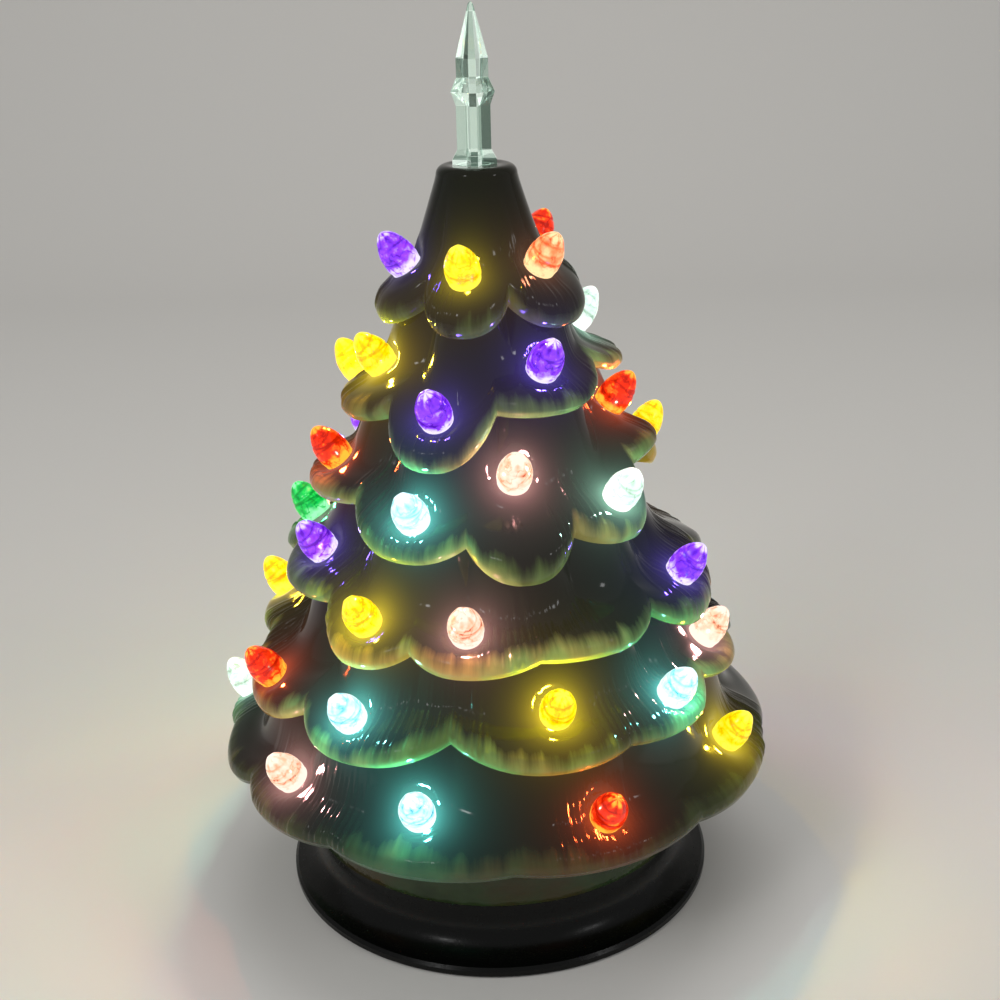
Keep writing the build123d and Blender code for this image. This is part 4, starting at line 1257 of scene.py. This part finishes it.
    def put_lamp(self, name: str, seat: Seat) -> None:
        """Puts a small coloured lamp in a bulb, so that it lights the glaze round it.

        Args:
            name: name of the lamp.
            seat: place of the bulb.
        """
        light = bpy.data.lights.new(name, "POINT")
        light.energy = seat.shine * self.light_power
        light.color = seat.colour.thrown
        light.shadow_soft_size = self.light_radius * MM
        lamp = bpy.data.objects.new(name, light)
        lamp.location = (seat.foot + self.light_place * self.length * seat.axis) * MM
        bpy.context.scene.collection.objects.link(lamp)
        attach(lamp, "tree")


@dataclass
class Topper:
    """Clear moulded spire: four fins on a stem, a faceted star, and a long pyramid."""

    foot: tuple[float, float, float] = (-1.8, 0.0, 203.0)
    height: float = 39.0
    fin_thickness: float = 1.8
    fin_share: float = 0.4  # a fin is no thicker to each side than this share of its reach
    peg_r: float = 4.3
    peg_length: float = 9.0
    peg_step: float = 0.05  # how far below the spire's foot the peg starts
    facet_seed: int = 5
    # Rows from the foot up: share of the height, radius at the fins and radius in the valleys between.
    outline: Triples = ((0.0, 5.6, 2.6), (0.03, 5.6, 2.6), (0.09, 4.3, 2.3), (0.37, 4.3, 2.3),
                        (0.455, 5.5, 3.9), (0.54, 4.0, 2.7), (0.66, 4.0, 2.9), (0.94, 1.1, 0.9),
                        (0.985, 0.6, 0.5))

    def corners(self, fin: float) -> tuple[np.ndarray, float]:
        """Corners of a row of twelve points: two at the tip of each fin, and one in the valley after it.

        Args:
            fin: radius of the row at the fins.

        Returns:
            Azimuths of the points, and the radius of those at the fins' tips.
        """
        half = min(self.fin_thickness / 2.0, self.fin_share * fin)
        corner = math.degrees(math.atan2(half, fin))
        turns = 90.0 * np.arange(4)[:, None] + np.array([-corner, corner, 45.0])
        return turns.ravel(), math.hypot(fin, half)

    def skin(self) -> Surface:
        """Rows of the spire with its peg below them.

        Returns:
            The spire, with a random mark on each facet.
        """
        foot = np.array(self.foot)
        turns, _ = self.corners(self.outline[-1][1])
        peg = self.peg_r * outward(turns)
        rows = [peg - self.peg_length * UP, peg - self.peg_step * UP]
        for share, fin, valley in self.outline:
            turns, tip = self.corners(fin)
            radii = np.tile([tip, tip, valley], 4)
            rows.append(radii[:, None] * outward(turns) + share * self.height * UP)
        grid = np.stack(rows[::-1]) + foot
        skin = Surface.around(grid, top=foot + self.height * UP, foot=foot - self.peg_length * UP)
        # A random value per facet, which sets its painted glow and its painted shade.
        skin.facet_marks["facet"] = np.random.default_rng(self.facet_seed).random(skin.facets)
        return skin

    def build(self, finish: bpy.types.Material) -> None:
        """Builds the spire with flat facets on the topper's body.

        Args:
            finish: clear plastic of the spire.
        """
        piece = self.skin().put("clear_spire", finish, shaded_smooth=False)
        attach(piece, "topper")
        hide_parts("topper")
        log.info("clear_spire")


@dataclass
class Base:
    """Black base with its battery works: the frame's own solids, each in its finish."""

    finishes: ClassVar[dict[str, Finish]] = {
        # Gloss black with soft, weak reflections and hardly any grain.
        "base_dish": Finish("gloss_black_moulded_plastic", "#060706", 0.24, mirror=0.25, grain=1.4,
                            grain_depth=0.004),
        # Pits of a spark-eroded mould break the light up, so that the underside looks matt.
        "bottom_plate": Finish("spark_textured_black_plastic", "#141514", 0.5, grain=0.4, grain_depth=0.05),
        # The same texture, a little paler, which sets the door off from the plate.
        "battery_door": Finish("spark_textured_door_plastic", "#181918", 0.5, grain=0.4, grain_depth=0.05),
        # Bright bluish-white metal that sparkles finely.
        "plate_screws": Finish("zinc_plated_screw_steel", "#b9bcbf", 0.3, metallic=1.0, grain=0.2),
        "door_screw": Finish("zinc_plated_small_screw", "#b9bcbf", 0.3, metallic=1.0, grain=0.2),
        # Warmer, shinier metal with fine upright lines.
        "contacts": Finish("nickel_plated_spring_steel", "#c9c6bd", 0.25, metallic=1.0, grain=0.15,
                           stretch=(1.0, 1.0, 6.0)),
        # Dull dark plastics with a soft sheen: the knob is the smoother one, from use.
        "switch_body": Finish("moulded_switch_nylon", "#1c1d1e", 0.45, grain=0.3, grain_depth=0.03),
        "switch_knob": Finish("moulded_black_knob_acetal", "#1a1b1b", 0.4, grain=0.3),
        # Clean warm white that carries the lamp's light down the post.
        "lamp_post": Finish("white_moulded_plastic", "#e9e8e3", 0.4, grain=0.8),
        # White lacquer with a fine grain.
        "light_board": Finish("white_solder_masked_board", "#e4e4dc", 0.4, grain=0.25),
        # Yellow phosphor that is brighter than anything round it.
        "light_chips": Finish("phosphor_light_chip", "#f2dd7a", 0.4, glow=1.5, grain=0.3),
        # Milky cap that glows evenly and hides the chips.
        "light_shade": Finish("frosted_diffuser_plastic", "#f3f2ea", 0.5, glow=0.6, grain=0.3,
                              grain_depth=0.04),
        # Red insulation with a dull shine.
        "leads": Finish("insulated_lead_wire", "#a3231c", 0.45, grain=0.3),
    }
    cells: ClassVar[tuple[str, ...]] = ("battery_1", "battery_2", "battery_3")
    cell_band: ClassVar[float] = 0.3  # share of the cell's length with the copper-coloured band

    def jacket(self, node: str) -> JacketFinish:
        """Jacket of a cell, with its band at the far end of the cell's longest side.

        Args:
            node: name of the cell.

        Returns:
            Its finish.
        """
        low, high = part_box(node)
        size = high - low
        axis = max(range(3), key=lambda i: size[i])
        return JacketFinish(f"shrunk_jacket_of_{node}", "#23262a", 0.3, grain=0.5, axis=axis,
                            band_start=high[axis] - self.cell_band * size[axis])

    def build(self) -> None:
        """Dresses the solids of the base in their finishes."""
        dressed = {**self.finishes, **{node: self.jacket(node) for node in self.cells}}
        for node, finish in dressed.items():
            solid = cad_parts[node]
            solid.data.materials.clear()
            solid.data.materials.append(finish.material())
        log.info("base: %d solids dressed", len(dressed))


@dataclass(frozen=True)
class StudioLamp:
    """Square lamp that faces the tree: its place and size in metres, and its power in watts."""

    name: str
    place: tuple[float, float, float]
    size: float
    power: float
    reflected: bool  # whether it shows as a glint in the glaze
    target: ClassVar[tuple[float, float, float]] = (0.0, 0.0, 0.11)  # middle of the tree

    def put(self) -> None:
        """Adds the lamp to the scene."""
        light = bpy.data.lights.new(self.name, "AREA")
        light.energy = self.power
        light.size = self.size
        lamp = bpy.data.objects.new(self.name, light)
        lamp.location = self.place
        lamp.visible_glossy = self.reflected
        aim = Vector(self.target) - Vector(self.place)
        lamp.rotation_euler = aim.to_track_quat("-Z", "Y").to_euler()
        bpy.context.scene.collection.objects.link(lamp)


@dataclass
class Studio:
    """Pale floor that curves up into a backdrop, soft lights, and the camera at the photograph's angle."""

    # Paper without gloss: an even pale grey that takes the bulbs' colours.
    floor_finish: Finish = Finish("pale_matte_paper", "#d6d4d0", 0.9, grain=3.0, tone_spread=0.03)
    floor_front: float = -3000.0
    floor_back: float = 700.0
    floor_half_width: float = 4000.0
    bend: float = 400.0  # radius of the curve between floor and wall
    bend_steps: int = 24
    wall_height: float = 4000.0
    lamps: tuple[StudioLamp, ...] = (
        StudioLamp("key_softbox", (-0.75, -0.75, 0.95), 0.7, 6.0, False),
        StudioLamp("fill_softbox", (0.95, -0.55, 0.55), 0.7, 2.5, False),
        StudioLamp("top_softbox", (0.1, 0.35, 1.25), 0.8, 4.0, False),
        StudioLamp("left_glint", (-0.55, -0.75, 0.85), 0.12, 0.5, True),
        StudioLamp("right_glint", (0.75, -0.5, 0.7), 0.12, 0.3, True),
    )
    world_strength: float = 0.3
    focal_px: float = 1500.0  # focal length, in pixels of the picture
    image_px: float = 1000.0  # width of the picture
    sensor: float = 36.0  # width of the camera's sensor in millimetres
    clip: tuple[float, float] = (0.01, 20.0)  # nearest and farthest that the camera sees, in metres
    camera: tuple[float, float, float] = (2.5, -383.2, 261.7)
    pitch: float = 21.37  # how far the camera looks down, in degrees
    roll: float = 1.40  # how far it is turned about its own axis

    def build(self) -> None:
        """Builds the floor, the lights and the camera."""
        self.put_floor()
        self.put_lights()
        self.put_camera()
        bpy.context.scene.view_settings.view_transform = "Standard"

    def put_floor(self) -> None:
        """Paper sweep: floor, quarter circle and wall, drawn as one strip."""
        turn = np.radians(np.linspace(0.0, 90.0, self.bend_steps))
        curve = np.stack([self.floor_back + self.bend * np.sin(turn),
                          self.bend - self.bend * np.cos(turn)], axis=1)
        top = [self.floor_back + self.bend, self.wall_height]
        side = np.concatenate([[[self.floor_front, 0.0]], curve, [top]])
        x = np.array([-self.floor_half_width, self.floor_half_width])
        points = np.stack(np.broadcast_arrays(x, side[:, :1], side[:, 1:]), axis=-1)
        index = np.arange(len(side) * 2).reshape(-1, 2)
        quads = np.stack([index[:-1, 0], index[:-1, 1], index[1:, 1], index[1:, 0]], axis=-1)
        strip = Surface(points.reshape(-1, 3), quads, np.zeros((0, 3), int))
        floor = strip.put("floor", self.floor_finish.material())

    def put_lights(self) -> None:
        """Large soft lamps that leave no reflections, two small ones that do, and an even world."""
        for lamp in self.lamps:
            lamp.put()
        world = bpy.data.worlds.new("even_studio")
        bpy.context.scene.world = world
        world.use_nodes = True
        sky = world.node_tree.nodes["Background"]
        sky.inputs["Color"].default_value = WHITE
        sky.inputs["Strength"].default_value = self.world_strength

    def put_camera(self) -> None:
        """Camera looking along +Y and down by the pitch, turned about its own axis by the roll."""
        data = bpy.data.cameras.new("photo_camera")
        data.sensor_width = self.sensor
        data.lens = self.focal_px / self.image_px * data.sensor_width
        data.clip_start, data.clip_end = self.clip
        place = Matrix.Translation(Vector(self.camera) * MM)
        look_down = Matrix.Rotation(math.radians(90.0 - self.pitch), 4, "X")
        camera = bpy.data.objects.new("photo_camera", data)
        camera.matrix_world = place @ look_down @ Matrix.Rotation(-math.radians(self.roll), 4, "Z")
        bpy.context.scene.collection.objects.link(camera)
        bpy.context.scene.camera = camera


def main() -> None:
    """Builds the pieces in order."""
    logging.basicConfig(level=logging.INFO, format="%(name)s %(message)s")
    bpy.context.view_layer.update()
    bulbs = Bulbs()
    seats = bulbs.seats()
    # Dark green glass with sharp glints, and a painted glow in the colours of the bulbs that stand on it.
    glaze = GlazeFinish("glazed_green_earthenware", "#08110b", 0.09, glow=1.0, mirror=0.28)
    # Chalky white inside that shows when the tree is lifted.
    bisque = Finish("unglazed_white_earthenware", "#d9d3c6", 0.85, grain=1.2, grain_depth=0.08)
    all_seats = [seat for tier_seats in seats for seat in tier_seats]
    TreeShell().build(glaze.material(), bisque.material(), all_seats)
    bulbs.build(seats)
    # Clear and polished, with a cold painted glow that changes from facet to facet.
    spire = SpireFinish("clear_moulded_acrylic", "#ecf8f0", 0.03, ior=1.49, transmission=0.95, glow=0.4)
    Topper().build(spire.material())
    Base().build()
    Studio().build()


if __name__ == "__main__":
    main()
